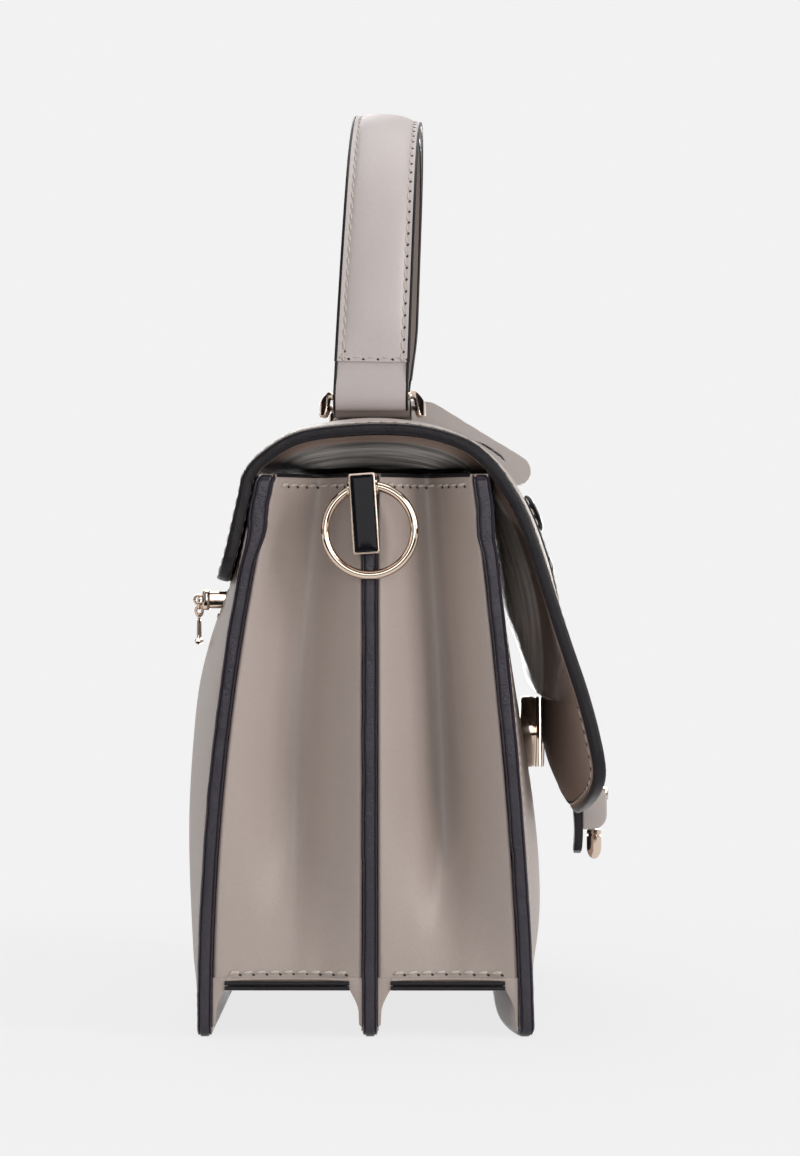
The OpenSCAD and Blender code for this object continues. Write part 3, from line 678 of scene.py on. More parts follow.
def wire_rings(path, radius, up, sides, flat=1.0):
    """Rings of a closed wire along a path. flat is its thickness across the up direction."""
    rings = []
    for i, point in enumerate(path):
        along = (Vector(path[(i + 1) % len(path)]) - Vector(path[i - 1])).normalized()
        side = along.cross(up).normalized()
        top = side.cross(along)
        rings.append([Vector(point) + side * c * radius + top * s * radius * flat
                      for c, s in around(sides)])
    return rings


def ride(piece, body, *nodes):
    """Sets a finished piece on its body in the place of CAD nodes."""
    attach(piece, body)
    if nodes:
        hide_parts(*nodes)


# Rows of stitches and other repeated shapes


# A row's inputs: metres, and the slant in radians
ROW_SIZES = {
    "Pitch": 0.004, "Length": 0.003, "Breadth": 0.0006, "Height": 0.0005,
    "Slant": 0.0, "Shift": 0.0, "Lift": 0.0,
}


def new_tree(name, shape_kind):
    """A geometry tree that sets a shape along every line of a mesh."""
    tree = bpy.data.node_groups.new(name, "GeometryNodeTree")
    nodes = Nodes(tree)
    sockets = {}

    def add_socket(label, kind, way="INPUT"):
        socket = tree.interface.new_socket(label, in_out=way, socket_type="NodeSocket" + kind)
        sockets[label] = socket.identifier
        return socket

    def add(kind, values=None, **settings):
        return nodes.add(kind, settings, values)

    add_socket("Geometry", "Geometry")
    for label, value in ROW_SIZES.items():
        add_socket(label, "Float").default_value = value
    add_socket("Finish", "Material")
    add_socket("Geometry", "Geometry", "OUTPUT")
    outputs = tree.nodes.new("NodeGroupInput").outputs
    given = {label: Amount(nodes, outputs[label]) for label in (*ROW_SIZES, "Geometry", "Finish")}
    line = add("GeometryNodeMeshToCurve", {0: given["Geometry"]})
    points = add("GeometryNodeResampleCurve", {"Curve": line, "Length": given["Pitch"]},
                 mode="LENGTH")
    away = add("GeometryNodeInputNamedAttribute", {"Name": "away"}, data_type="FLOAT_VECTOR")
    tangent = add("GeometryNodeInputTangent")
    along = add("FunctionNodeAlignRotationToVector", {"Vector": tangent}, axis="X")
    upright = add("FunctionNodeAlignRotationToVector", {"Rotation": along, "Vector": away},
                  axis="Z", pivot_axis="X")
    slant = add("ShaderNodeCombineXYZ", {"Z": given["Slant"]})
    lean = add("FunctionNodeEulerToRotation", {0: slant})
    turn = add("FunctionNodeRotateRotation", {"Rotation": upright, "Rotate By": lean},
               rotation_space="LOCAL")
    if shape_kind == "bead":
        shape = add("GeometryNodeMeshUVSphere", {"Segments": 8, "Rings": 5, "Radius": 0.5})
    else:
        shape = add("GeometryNodeMeshCube", {"Size": (1, 1, 1)})
    size = add("ShaderNodeCombineXYZ",
               {"X": given["Length"], "Y": given["Breadth"], "Z": given["Height"]})
    shift = add("ShaderNodeCombineXYZ", {"X": given["Shift"], "Z": given["Lift"]})
    placed = add("GeometryNodeTransform", {"Geometry": shape, "Scale": size, "Translation": shift})
    copies = add("GeometryNodeInstanceOnPoints",
                 {"Points": points, "Instance": placed, "Rotation": turn})
    real = add("GeometryNodeRealizeInstances", {0: copies})
    done = add("GeometryNodeSetMaterial", {"Geometry": real, "Material": given["Finish"]})
    nodes.feed(tree.nodes.new("NodeGroupOutput").inputs[0], done)
    return tree, sockets


BEAD_ROW = new_tree("row_of_stitches", "bead")
BLOCK_ROW = new_tree("row_of_teeth", "block")


def row_piece(name, runs, tree_and_sockets, finish, **sizes):
    """Shapes along lines. A run is a list of points and directions away from the surface.

    The sizes are the tree's inputs, here in millimetres.
    """
    points, edges, aways = [], [], []
    for run in runs:
        first = len(points)
        for point, away in run:
            points.append(tuple(c * MM for c in point))
            aways += list(Vector(away).normalized())
        edges += [(first + i, first + i + 1) for i in range(len(run) - 1)]
    mesh = bpy.data.meshes.new(name)
    mesh.from_pydata(points, edges, [])
    mesh.attributes.new("away", "FLOAT_VECTOR", "POINT").data.foreach_set("vector", aways)
    piece = put(name, mesh)
    tree, sockets = tree_and_sockets
    modifier = piece.modifiers.new("row", "NODES")
    modifier.node_group = tree
    for label, value in sizes.items():
        modifier[sockets[label]] = value if label == "Slant" else value * MM
    modifier[sockets["Finish"]] = FINISHES[finish]
    piece.data.update()
    settle(piece)
    piece.data.shade_smooth()
    return piece


def sewn_rows(name, runs, pitch=4.1, length=3.1, breadth=0.75, stand=0.6):
    """Stitches along runs, with a dark bead of painted shade for the needle hole between each two.
    """
    thread = row_piece(name, runs, BEAD_ROW, "thread", Pitch=pitch, Length=length,
                       Breadth=breadth, Height=stand, Slant=0.14, Lift=0.1)
    holes = row_piece(name + "_holes", runs, BEAD_ROW, "hole", Pitch=pitch, Length=1.15,
                      Breadth=0.85, Height=0.25, Slant=-0.35, Shift=pitch / 2, Lift=0.03)
    return thread, holes


def sew(body, name, runs, **sizes):
    """Stitches and dark beads of painted shade for their needle holes, on a body."""
    for piece in sewn_rows(name, runs, **sizes):
        ride(piece, body)


# Shapes of the three leaves


def swell(z, middle, width):
    return hump(z / LEAF_HEIGHT, middle, width)


def across(x, power=4):
    return 1 - abs(2 * x / BAG_WIDTH) ** power


def rear_y(x, z):
    """The rear leaf leans forwards and swells at half height, less where the flap is sewn on."""
    leaning = REAR_FOOT_Y - REAR_LEAN * max(0, z / LEAF_HEIGHT) ** 2.1
    above_foot = eased((z + 2) / 24)
    drawn_in = 1 - 0.28 * eased((z - 130) / 22)
    below_zip = 1.1 * hump(z, 114, 18)
    bulge = REAR_SWELL * swell(z, 0.5, 0.5) * drawn_in * above_foot + below_zip
    return leaning + bulge * across(x, 2)


def front_line(x, z, bulge):
    """The front leaf leans backwards, swells low down and is drawn in at its foot."""
    leaning = FRONT_FOOT_Y + FRONT_LEAN * max(0, z / LEAF_HEIGHT) ** 1.5
    toe = FRONT_TOE * swell(z, 0, 0.11)
    return leaning + (toe - bulge * swell(z, 0.3, 0.33)) * across(x)


def front_y(x, z):
    return front_line(x, z, FRONT_SWELL)


def centre_y(x, z):
    return 0.0


def rear_outside(x, z):
    return rear_y(x, z) + LEAF_HALF


def rear_inside(x, z):
    return rear_y(x, z) - LEAF_HALF


def front_outside(x, z):
    return front_y(x, z) - LEAF_HALF


def front_inside(x, z):
    return front_y(x, z) + LEAF_HALF


def half_at(z):
    """Half width of a leaf at a height, with its lower corners rounded."""
    return LEAF_X - LEAF_CORNER * round_end((z - LEAF_FOOT) / LEAF_CORNER)


def leaf_grid(leaf, shift, columns, rows):
    """Grid of points over a leaf, shifted along Y from its middle."""
    grid = []
    for z in rows:
        share = half_at(z) / LEAF_X
        grid.append([(x * share, leaf(x, z) + shift, z) for x in columns])
    return grid


def leaf_layer(name, leaf, low, high, finish, with_window=False):
    """One layer of a leaf, from one shift along Y to the other."""
    marks_x = (-ZIP_HALF, ZIP_HALF) if with_window else ()
    marks_z = (ZIP_Z - ZIP_WINDOW / 2, ZIP_Z + ZIP_WINDOW / 2) if with_window else ()
    columns = spread(-LEAF_X, LEAF_X, 60, marks_x)
    low_rows = [LEAF_FOOT + LEAF_CORNER * (1 - math.cos(t * math.pi / 20)) for t in range(10)]
    rows = low_rows + spread(LEAF_FOOT + LEAF_CORNER, LEAF_HEIGHT, 44, marks_z)
    window = None
    if with_window:
        window = (
            rows.index(marks_z[0]), rows.index(marks_z[1]),
            columns.index(marks_x[0]), columns.index(marks_x[1]),
        )
    front = leaf_grid(leaf, low, columns, rows)
    back = leaf_grid(leaf, high, columns, rows)
    return sheet(name, front, back, finish, window)


def make_leaves():
    """The layers of the rear, centre and front leaf."""
    cover = (BOARD / 2 + PLY_GAP, LEAF_HALF)
    under = (-LEAF_HALF, -BOARD / 2 - PLY_GAP)
    middle = (-BOARD / 2, BOARD / 2)
    for name, leaf, (low, high), finish, with_window, node in (
        ("back_leather", rear_y, cover, "leather", True, "back_panel"),
        ("back_stiffener", rear_y, middle, "board", True, "back_board"),
        ("back_inner_lining", rear_y, under, "lining", True, "back_lining"),
        ("centre_stiffener", centre_y, middle, "board", False, "centre_board"),
        ("front_leather", front_y, under, "leather", False, "front_panel"),
        ("front_stiffener", front_y, middle, "board", False, "front_board"),
        ("front_inner_lining", front_y, cover, "lining", False, "front_lining"),
        ("centre_rear_leather", centre_y, cover, "lining", False, "centre_divider"),
        ("centre_front_leather", centre_y, under, "lining", False, "centre_divider"),
    ):
        ride(leaf_layer(name, leaf, low, high, finish, with_window), "bag", node)


def rim_path(half, top, corner, top_corner, foot=0.0):
    """Closed path round a leaf, with the outward direction at each point."""
    path = []

    def straight(start, end, outward, count):
        for i in range(count):
            share = i / count
            path.append((mix(start[0], end[0], share), mix(start[1], end[1], share), outward))

    def bend(middle, radius, first, count):
        for i in range(count):
            turn = math.radians(first + 90 * i / count)
            outward = (math.cos(turn), math.sin(turn))
            path.append((middle[0] + radius * outward[0], middle[1] + radius * outward[1], outward))

    straight((-half, top - top_corner), (-half, foot + corner), (-1, 0), 90)
    bend((-half + corner, foot + corner), corner, 180, 10)
    straight((-half + corner, foot), (half - corner, foot), (0, -1), 60)
    bend((half - corner, foot + corner), corner, 270, 10)
    straight((half, foot + corner), (half, top - top_corner), (1, 0), 90)
    bend((half - top_corner, top - top_corner), top_corner, 0, 6)
    straight((half - top_corner, top), (-half + top_corner, top), (0, 1), 40)
    bend((-half + top_corner, top - top_corner), top_corner, 90, 6)
    return path


def band_section(half):
    """Outer face of a bound edge, as places across it and depths below its highest line."""
    section = []
    for t in evenly(-1, 1, 24):
        rounded = 0.95 * abs(t) ** 7 + 0.2 * t * t
        groove = 0.55 * hump(abs(t), 0.68, 0.08)
        section.append((t * half, rounded + groove))
    return section


def leaf_band(name, leaf, seed, node):
    """Dark bound edge round a leaf, lumpy and wider near its top."""
    rings = []
    for x, z, (out_x, out_z) in rim_path(BAG_WIDTH / 2, LEAF_HEIGHT + 0.3, LEAF_CORNER + EDGING, 3):
        upper = eased((z - BAND_WIDENS_Z) / 20)
        wobble = waver(seed, z / 9, x / 60)
        lumps = waver(seed + 7, z / 4, x / 30)
        half = (LEAF_HALF + 0.12) * (1 + 0.24 * upper + 0.07 * wobble * (1 + 2 * upper))
        lean = (0.35 * wobble + 0.25 * lumps) * (0.4 + upper)
        if abs(x) > 100 and leaf is not centre_y:
            kink = hump(z, BAND_KINK_Z, 6)
            lean += 0.9 * kink * (-1 if leaf is rear_y else 1)
            half += 0.35 * kink
        middle = leaf(min(BAG_WIDTH / 2, max(-BAG_WIDTH / 2, x)), z) + lean
        section = [(place, depth + 0.06 * lumps) for place, depth in band_section(half)]
        section += [(half * 0.99, EDGING + 1.9), (-half * 0.99, EDGING + 1.9)]
        rings.append([(x - out_x * depth, middle + place, z - out_z * depth)
                      for place, depth in section])
    ride(loft(name, rings, "edge", closed=True, sharp=50), "bag", node)


def make_bands():
    leaf_band("back_band", rear_y, 1.5, "back_edging")
    leaf_band("centre_band", centre_y, 4.5, "centre_edging")
    leaf_band("front_band", front_y, 8.5, "front_edging")


# Gussets, base and their stitches


def fold(z):
    share = min(1, max(0, (z - GUSSET_FOOT) / (LEAF_HEIGHT - GUSSET_FOOT) / 0.45))
    return FOLD_DEPTH * mix(0.25, 1, math.sin(math.pi / 2 * share))


def gusset_wall_x(y, y_a, y_b, z, inset, seed):
    """How far from the bag's middle a gusset's wall stands at a place along it."""
    share = min(1, max(0, (y_a - y) / (y_a - y_b)))
    deep = fold(z) * max(0, math.sin(math.pi * share)) ** 1.3
    crease = REAR_CREASE if y_a > 0 else FRONT_CREASE
    deep += crease * hump(share, 0.52, 0.18) * eased((z - GUSSET_FOOT) / 50)
    slack = math.sin(math.pi * share)
    ripple = waver(seed, y / 16, z / 80) * 0.9 + waver(seed + 5, y / 7, z / 45) * 0.3
    return -BAG_WIDTH / 2 + EDGING + inset + deep + ripple * slack


def gusset_plan(y_a, y_b, z, inset, seed):
    """Plan of a gusset at one height, from the leaf at y_a to the one at y_b."""
    corner_x = -BAG_WIDTH / 2 + EDGING
    inner = GUSSET_ROLL - inset

    def rolled(y_leaf, way):
        """The flange on a leaf and its rolled corner, from the flange's end outwards."""
        part = [(corner_x + FLANGE, y_leaf + way * inset),
                (corner_x + (FLANGE + GUSSET_ROLL) / 2, y_leaf + way * inset)]
        for i in range(7):
            turn = math.pi / 2 * i / 6
            y = y_leaf + way * (GUSSET_ROLL - inner * math.cos(turn))
            wall = gusset_wall_x(y, y_a, y_b, z, 0, seed) - corner_x
            part.append((corner_x + GUSSET_ROLL - inner * math.sin(turn) + wall * i / 6, y))
        return part

    ys = evenly(y_a - GUSSET_ROLL, y_b + GUSSET_ROLL, 36)[1:-1]
    wall = [(gusset_wall_x(y, y_a, y_b, z, inset, seed), y) for y in ys]
    return rolled(y_a, -1) + wall + rolled(y_b, 1)[::-1]


def rear_span(z):
    return rear_inside(BAG_WIDTH / 2, z) - SEAT_GAP, LEAF_HALF + SEAT_GAP


def front_span(z):
    return -LEAF_HALF - SEAT_GAP, front_inside(BAG_WIDTH / 2, z) + SEAT_GAP


def gusset(name, span, side, seed, node):
    """A folded side wall between two leaves."""
    grids = []
    for inset in (0, LEATHER):
        grid = []
        for z in evenly(GUSSET_FOOT, LEAF_HEIGHT, 56):
            y_a, y_b = span(z)
            grid.append([(side * -x, y, z) for x, y in gusset_plan(y_a, y_b, z, inset, seed)])
        grids.append(grid)
    ride(sheet(name, *grids, "gusset", sharp=60), "bag", node)


GUSSETS = [
    ("near_rear_wall", rear_span, -1, 2.0, "near_rear_gusset"),
    ("near_front_wall", front_span, -1, 12.0, "near_front_gusset"),
    ("far_rear_wall", rear_span, 1, 22.0, "far_rear_gusset"),
    ("far_front_wall", front_span, 1, 32.0, "far_front_gusset"),
]


def gusset_line(span, side, seed, z, ends):
    """A line along the outer face of a gusset at one height, short of the leaves by its ends."""
    y_a, y_b = span(z)
    ys = evenly(y_a - ends, y_b + ends, 40)
    return [((side * -gusset_wall_x(y, y_a, y_b, z, 0, seed), y, z), (side, 0, 0.15)) for y in ys]


def oval_ring(x, y, z, half_x, half_z, count):
    return [(x + half_x * c, y, z + half_z * s) for c, s in around(count)]


def gusset_bar(span, side, seed, z, height, stand, ends):
    """Rings of a narrow bar along a gusset's outer face."""
    line = gusset_line(span, side, seed, z, ends)
    out = side * stand / 2
    return [oval_ring(x + out, y, level, out, height / 2, 10) for (x, y, level), away in line]


def make_gussets():
    top_binding, foot_rim, top_runs, foot_runs, knots = [], [], [], [], []
    for name, span, side, seed, node in GUSSETS:
        gusset(name, span, side, seed, node)
        top_binding.append(gusset_bar(span, side, seed, LEAF_HEIGHT - 0.3, 1.3, 0.9, 1.0))
        foot_rim.append(gusset_bar(span, side, seed, GUSSET_FOOT + 0.3, 1.0, 1.2, 4.6))
        for z, ends, runs in ((TOP_SEAM_Z, 3.5, top_runs), (FOOT_SEAM_Z, 6.0, foot_runs)):
            run = gusset_line(span, side, seed, z, ends)
            runs.append(run[1:-1])
            knots += [run[:2], run[-2:]]
    ride(several_lofts("gusset_top_binding", top_binding, "dark_edge"), "bag")
    ride(several_lofts("gusset_foot_rim", foot_rim, "leather"), "bag")
    sew("bag", "gusset_top_stitches", top_runs, length=3.4, breadth=0.8, stand=0.8)
    sew("bag", "gusset_foot_stitches", foot_runs, length=3.6, breadth=1.15, stand=1.3)
    ride(row_piece("gusset_stitch_knots", knots, BEAD_ROW, "thread", Pitch=0.7, Length=2.0,
                   Breadth=0.75, Height=1.3, Slant=0.7, Lift=0.3), "bag")


def gusset_heel(y_leaf, towards, side):
    """A corner of gusset leather that runs down a leaf's face below the base."""
    wide, narrow, narrow_z = 5.8, 1.2, 8.6
    outline = [(0, GUSSET_FOOT + 1.0), (wide + 0.1, GUSSET_FOOT + 1.0)]
    for share in evenly(0, 1, 8):
        y = mix(narrow, wide, (1 - share) ** 1.4)
        outline.append((y, mix(GUSSET_FOOT - 0.4, narrow_z, share)))
    outline += [(1.0, 4.0), (0, 3.2)]
    x = side * (BAG_WIDTH / 2 - EDGING)
    points = [(y_leaf + towards * y, z) for y, z in outline]
    return [[(level, y, z) for y, z in points] for level in (x, x - side * LEATHER)]


def base_rings(outline, low, high):
    """Rings of a flat strip, a little shorter than its plan, with a rounded edge."""
    rings = []
    middle_x = sum(p[0] for p in outline) / len(outline)
    middle_y = sum(p[1] for p in outline) / len(outline)
    for level, inset in ((0, 0.45), (0.12, 0.15), (0.35, 0), (0.65, 0), (0.88, 0.15), (1, 0.45)):
        ring = []
        for x, y in outline:
            x -= math.copysign(BASE_SHORT + inset, x - middle_x)
            y -= math.copysign(inset * 0.3, y - middle_y)
            ring.append((x, y, low + (high - low) * level))
        rings.append(ring)
    return rings


BASE_SHARES = [-1, -0.985, -0.95, -0.85, -0.65, -0.4, -0.2, 0, 0.2, 0.4, 0.65, 0.85, 0.95, 0.985, 1]


def base_outline(near, far):
    """Plan of a base strip between two lines, with its corners cut."""
    half = BAG_WIDTH / 2 - EDGING

    def corner(share):
        return BASE_CORNER * (1 if abs(share) == 1 else 0.75 if abs(share) > 0.98 else 0)

    low = [(s * half, near(s * half) + corner(s)) for s in BASE_SHARES]
    high = [(s * half, far(s * half) - corner(s)) for s in reversed(BASE_SHARES)]
    return low + high


def base_edges(outline, layers):
    """Beads of edge paint on both ends of a compartment's floor, one for each layer."""
    half = BAG_WIDTH / 2 - EDGING
    beads = []
    for side in (-1, 1):
        end_x = side * (half - BASE_SHORT)
        ys = [y for x, y in outline if side * x > 0.98 * half]
        for low, high in layers:
            middle, radius = (low + high) / 2, (high - low) / 2
            beads.append([oval_ring(end_x, y, middle, side * 0.75, radius, 12)
                          for y in evenly(min(ys) + 0.4, max(ys) - 0.4, 12)])
    return beads


def make_base():
    """The floors of the two compartments with their painted edges."""
    board = BASE_Z + LEATHER + PLY_GAP
    wall = LEAF_HALF + SEAT_GAP
    rear = base_outline(lambda x: wall, lambda x: rear_inside(x, BASE_Z) - SEAT_GAP)
    front = base_outline(lambda x: front_inside(x, BASE_Z) + SEAT_GAP, lambda x: -wall)
    for name, outline, low, finish, node in (
        ("rear_floor_leather", rear, BASE_Z, "leather", "rear_base"),
        ("front_floor_leather", front, BASE_Z, "leather", "front_base"),
        ("rear_floor_board", rear, board, "lining", "rear_base_board"),
        ("front_floor_board", front, board, "lining", "front_base_board"),
    ):
        ride(loft(name, base_rings(outline, low, low + LEATHER), finish), "bag", node)
    layers = ((BASE_Z - 0.1, BASE_Z + LEATHER), (board, board + LEATHER + 0.1))
    paint = base_edges(rear, layers) + base_edges(front, layers)
    ride(several_lofts("base_painted_edges", paint, "dark_edge"), "bag")
    heels = []
    for side in (-1, 1):
        for span in (rear_span, front_span):
            for y, towards in zip(span(GUSSET_FOOT), (-1, 1)):
                heels.append(gusset_heel(y, towards, side))
    ride(several_lofts("gusset_heels", heels, "gusset", bevel=0.3), "bag")
    make_foot_facings()


def make_foot_facings():
    """Leather on the leaves' inner faces below the floors, in the paler handle leather as painted
    light on faces that the floors shade.
    """
    xs = evenly(-LEAF_X + 1, LEAF_X - 1, 60)
    zs = evenly(LEAF_FOOT + 0.6, BASE_Z - 0.3, 8)
    for name, face, way in (("rear_foot", rear_inside, -1), ("front_foot", front_inside, 1),
                            ("centre_rear_foot", lambda x, z: LEAF_HALF, 1),
                            ("centre_front_foot", lambda x, z: -LEAF_HALF, -1)):
        grids = [[[(x, face(x, z) + way * stand, z) for x in xs] for z in zs]
                 for stand in (0.5, 0.1)]
        # The paler handle finish is painted light on these shaded faces.
        ride(sheet(name + "_facing", *grids, "handle"), "bag")


# The flap


def drop(share):
    return mix(TIP_Z, LEAF_HEIGHT, share)


def ahead(x, z, share):
    return Vector((front_line(x, z, FLAP_SWELL) - LEAF_HALF - share * FLAP_LIFT, z))


def over(x, share, z):
    return Vector((mix(front_outside(x, LEAF_HEIGHT), rear_outside(x, LEAF_HEIGHT), share), z))


def behind(x, z, lift):
    return Vector((rear_outside(x, z) + 0.4 + lift, z))


def flap_line(x, crown, front, top, above_hinge, lifts):
    """A line along the flap, from its tip over the top to its sewn end.

    front goes up from the tip as rises and lifts, top backwards as shares and rises.
    """
    line = [ahead(x, drop(rise), lift) for rise, lift in front]
    line += [over(x, share, LEAF_HEIGHT + crown * rise) for share, rise in top]
    line.append(behind(x, mix(HINGE_Z, LEAF_HEIGHT, above_hinge), lifts[0]))
    for fall, lift in zip((0, 0.35, 0.7, 1), lifts):
        line.append(behind(x, mix(HINGE_Z, FLAP_END_Z, fall), lift))
    return line


MIDDLE = flap_line(
    0, CROWN_MIDDLE,
    [(0, 0.879), (0.031, 0.702), (0.119, 0.5), (0.197, 0.466), (0.284, 0.57), (0.389, 0.753),
     (0.503, 0.925), (0.634, 1), (0.764, 0.911), (0.895, 0.67), (1, 0.299)],
    [(0.065, 0.51), (0.227, 0.85), (0.427, 1), (0.625, 0.97), (0.812, 0.77), (0.952, 0.37)],
    0.75, (0, 0, 0, 0),
)
SIDE = flap_line(
    BAG_WIDTH / 2, CROWN_SIDE,
    [(0, 1.661), (0.031, 1.708), (0.119, 1.736), (0.197, 1.697), (0.284, 1.601), (0.389, 1.43),
     (0.503, 1.198), (0.634, 0.953), (0.764, 0.738), (0.878, 0.51), (0.965, 0.201)],
    [(0.021, 0.2), (0.123, 0.65), (0.313, 0.96), (0.556, 1), (0.813, 0.8), (0.962, 0.28)],
    0.7, (0.8, 0.9, 1.2, 2.0),
)
PATH_END = len(MIDDLE) - 1
HINGE_AT = PATH_END - 3


def path_point(path, at):
    i = min(PATH_END - 1, max(0, math.floor(at)))
    t = at - i
    p, q = path[max(0, i - 1)], path[i]
    r, s = path[i + 1], path[min(PATH_END, i + 2)]
    return 0.5 * (
        2 * q + (r - p) * t + (2 * p - 5 * q + 4 * r - s) * t * t
        + (3 * q - p - 3 * r + s) * t * t * t
    )


def flap_point(x, at):
    power = mix(4, 2.2, eased((at - HINGE_AT + 3) / 3))
    share = min(1, abs(2 * x / FLAP_WIDTH)) ** power
    p = path_point(MIDDLE, at).lerp(path_point(SIDE, at), share)
    return Vector((x, p[0], p[1]))


def flap_normal(x, at):
    step = 0.02
    along_x = flap_point(x + step, at) - flap_point(x - step, at)
    along = flap_point(x, min(PATH_END, at + step)) - flap_point(x, max(0, at - step))
    return along_x.cross(along).normalized()


def flap_shell(x, at, height):
    return flap_point(x, at) + height * flap_normal(x, at)


TIP_TABLE = [(path_point(MIDDLE, i / 10)[1], i / 10) for i in range(81)]


def on_middle(z):
    """Where the flap's middle line passes a height on the front."""
    if z <= TIP_TABLE[0][0]:
        return 0.0
    for (low, at), (high, to) in zip(TIP_TABLE, TIP_TABLE[1:]):
        if low <= z <= high:
            return mix(at, to, (z - low) / (high - low))
    return TIP_TABLE[-1][1]


def tip_at(x, inset):
    """Where the flap's rounded foot lies on its path, for a place across the flap."""
    share = min(1, abs(x / (FLAP_WIDTH / 2 - inset)))
    return on_middle(TIP_Z + TIP_HEIGHT - (TIP_HEIGHT - inset) * (1 - share**3) ** (1 / 3))


def end_at(x, inset):
    """Where the flap's sewn end lies on its path, rounded at its corners."""
    past = max(0, abs(x) - (FLAP_WIDTH / 2 - inset - END_CORNER)) / END_CORNER
    return PATH_END - (END_CORNER * round_end(1 - past) + inset) / PATH_STEP


def across_flap(inset, columns):
    """Places across the flap, closer together towards its sides."""
    half = FLAP_WIDTH / 2 - inset
    return [-math.cos(math.pi * c / columns) * half for c in range(columns + 1)]


def flap_grid(inset, height):
    xs = across_flap(inset, FLAP_COLUMNS)
    spans = [(x, tip_at(x, inset), end_at(x, inset)) for x in xs]
    return [[flap_shell(x, mix(tip, end, share), height) for x, tip, end in spans]
            for share in evenly(0, 1, FLAP_ROWS)]


def bend_with_flap(piece, *nodes):
    """Sets a piece that is sewn to the bag, with its place baked into its mesh."""
    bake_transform(piece)
    if nodes:
        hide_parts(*nodes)


def flap_loop(inset, height):
    """Closed line round the flap, inset from its cut edge."""
    grid = flap_grid(inset, height)
    left = [grid[r][0] for r in range(FLAP_ROWS - 1, 0, -1)]
    right = [grid[r][FLAP_COLUMNS] for r in range(1, FLAP_ROWS)]
    return left + grid[0] + right + list(reversed(grid[FLAP_ROWS]))


def make_flap():
    inset = EDGING * 0.6
    for name, low, high, finish, *nodes in (
        ("flap_leather", FLAP_THICK - LEATHER, FLAP_THICK, "leather", "flap_panel", "flap_anchor"),
        ("flap_stiffener", LINING + PLY_GAP, 2 * LINING + PLY_GAP, "board", "flap_board"),
        ("flap_inner_lining", 0, LINING, "lining", "flap_lining"),
    ):
        bend_with_flap(sheet(name, flap_grid(inset, high), flap_grid(inset, low), finish), *nodes)
    places = ((0, 0), (EDGING, 0), (EDGING, FLAP_THICK), (0, FLAP_THICK))
    corners = [flap_loop(*place) for place in places]
    section = []
    for v in evenly(0, 1, 12):
        bow = abs(2 * v - 1)
        section.append((0.62 * bow**5 + 0.1 * bow * bow, -0.03 + 1.06 * v))
    section += [(1.7, 1.035), (1.7, -0.035)]
    rings = []
    for low_out, low_in, high_in, high_out in zip(*corners):
        rings.append([low_out.lerp(low_in, u).lerp(high_out.lerp(high_in, u), v)
                      for u, v in section])
    rim = loft("flap_rim", rings, "dark_edge", closed=True, sharp=50)
    bend_with_flap(rim, "flap_edging")
    make_flap_stitches()
    make_flap_facing()


def make_flap_stitches():
    for name, inset, height, way, sizes in (
        ("flap_stitches", SEAM_INSET, FLAP_THICK, 1, {}),
        ("flap_lining_stitches", 3.6, 0, -1, {"breadth": 0.5, "stand": 0.3}),
    ):
        line, beyond = flap_loop(inset, height), flap_loop(inset, height + way)
        run = [(p, q - p) for p, q in zip(line, beyond)]
        for piece in sewn_rows(name, [run + run[:1]], **sizes):
            bend_with_flap(piece)


def facing_room(x, at):
    """How far the flap's lining can hang inwards before it meets the leaves."""
    point, inward = flap_point(x, at), -flap_normal(x, at)
    for step in range(1, 90):
        reach = step * 0.25
        place = point + inward * reach
        low = place.z < LEAF_HEIGHT + 1.5
        if low and place.y > front_outside(x, min(place.z, LEAF_HEIGHT)) - 1.1:
            return reach
    return 0.0


def facing_hang(x, at):
    """How far the facing hangs off the flap. It is full over the mouth and taut at its ends."""
    point = flap_point(x, at)
    upper = eased((point.z - 160) / 20)
    share = mix(eased((88 - abs(x)) / 45), eased((117 - abs(x)) / 11), upper)
    clear = FACING_CLEAR
    if at < CROWN_AT:
        share *= eased((point.z - 106.5) / 2.5)
        clear = mix(4.6, FACING_CLEAR, eased((point.z - 112) / 34))
        clear += 2.6 * (1 - eased((point.z - 105) / 9))
    share *= eased((HINGE_AT - 1.4 - at) / 1.5)
    folds = 0.5 + 0.5 * waver(at * 1.7, x / 70, 4.0)
    return (max(0, facing_room(x, at) - clear) - 1.2 * folds) * share


def make_flap_facing():
    """Glossy facing that hangs full inside the flap, from its front to its crown."""
    flat, hung, flat_lie, hung_lie = [], [], [], []
    for at in evenly(on_middle(FACING_FOOT_Z), HINGE_AT - FACING_REACH, 100):
        places = [(x, max(0, facing_hang(x, at))) for x in across_flap(3, 60)]
        flat.append([flap_shell(x, at, -0.02) for x, hang in places])
        hung.append([flap_shell(x, at, -0.3 - hang) for x, hang in places])
        for x, hang in places:
            flat_lie += [at / PATH_END, 0.0, x / 100]
            hung_lie += [at / PATH_END, hang, x / 100]
    facing = sheet("flap_facing", flat, hung, "facing", sharp=70)
    lie = facing.data.attributes.new("lie", "FLOAT_VECTOR", "POINT")
    lie.data.foreach_set("vector", flat_lie + hung_lie)
    ride(facing, "flap")


# Handle


RISE = math.radians(RING_REST)
TAB_FOOT = flap_shell(0, 0.619 * PATH_END, FLAP_THICK)[2] + SEAT_GAP
TAB_AXIS_Z = TAB_FOOT + LEATHER + LOOP
BAR_SHIFT = -RING_PITCH * math.cos(RISE)
BAR_Z = TAB_AXIS_Z + RING_PITCH * math.sin(RISE)


def arch_line(share):
    c = math.cos(math.pi * share)
    x = BAR_SHIFT - TAB_X * squarish(c, 2 / 2.3)
    z = BAR_Z + ARCH_HEIGHT * max(0, math.sin(math.pi * share)) ** (2 / 2.3)
    return x, z


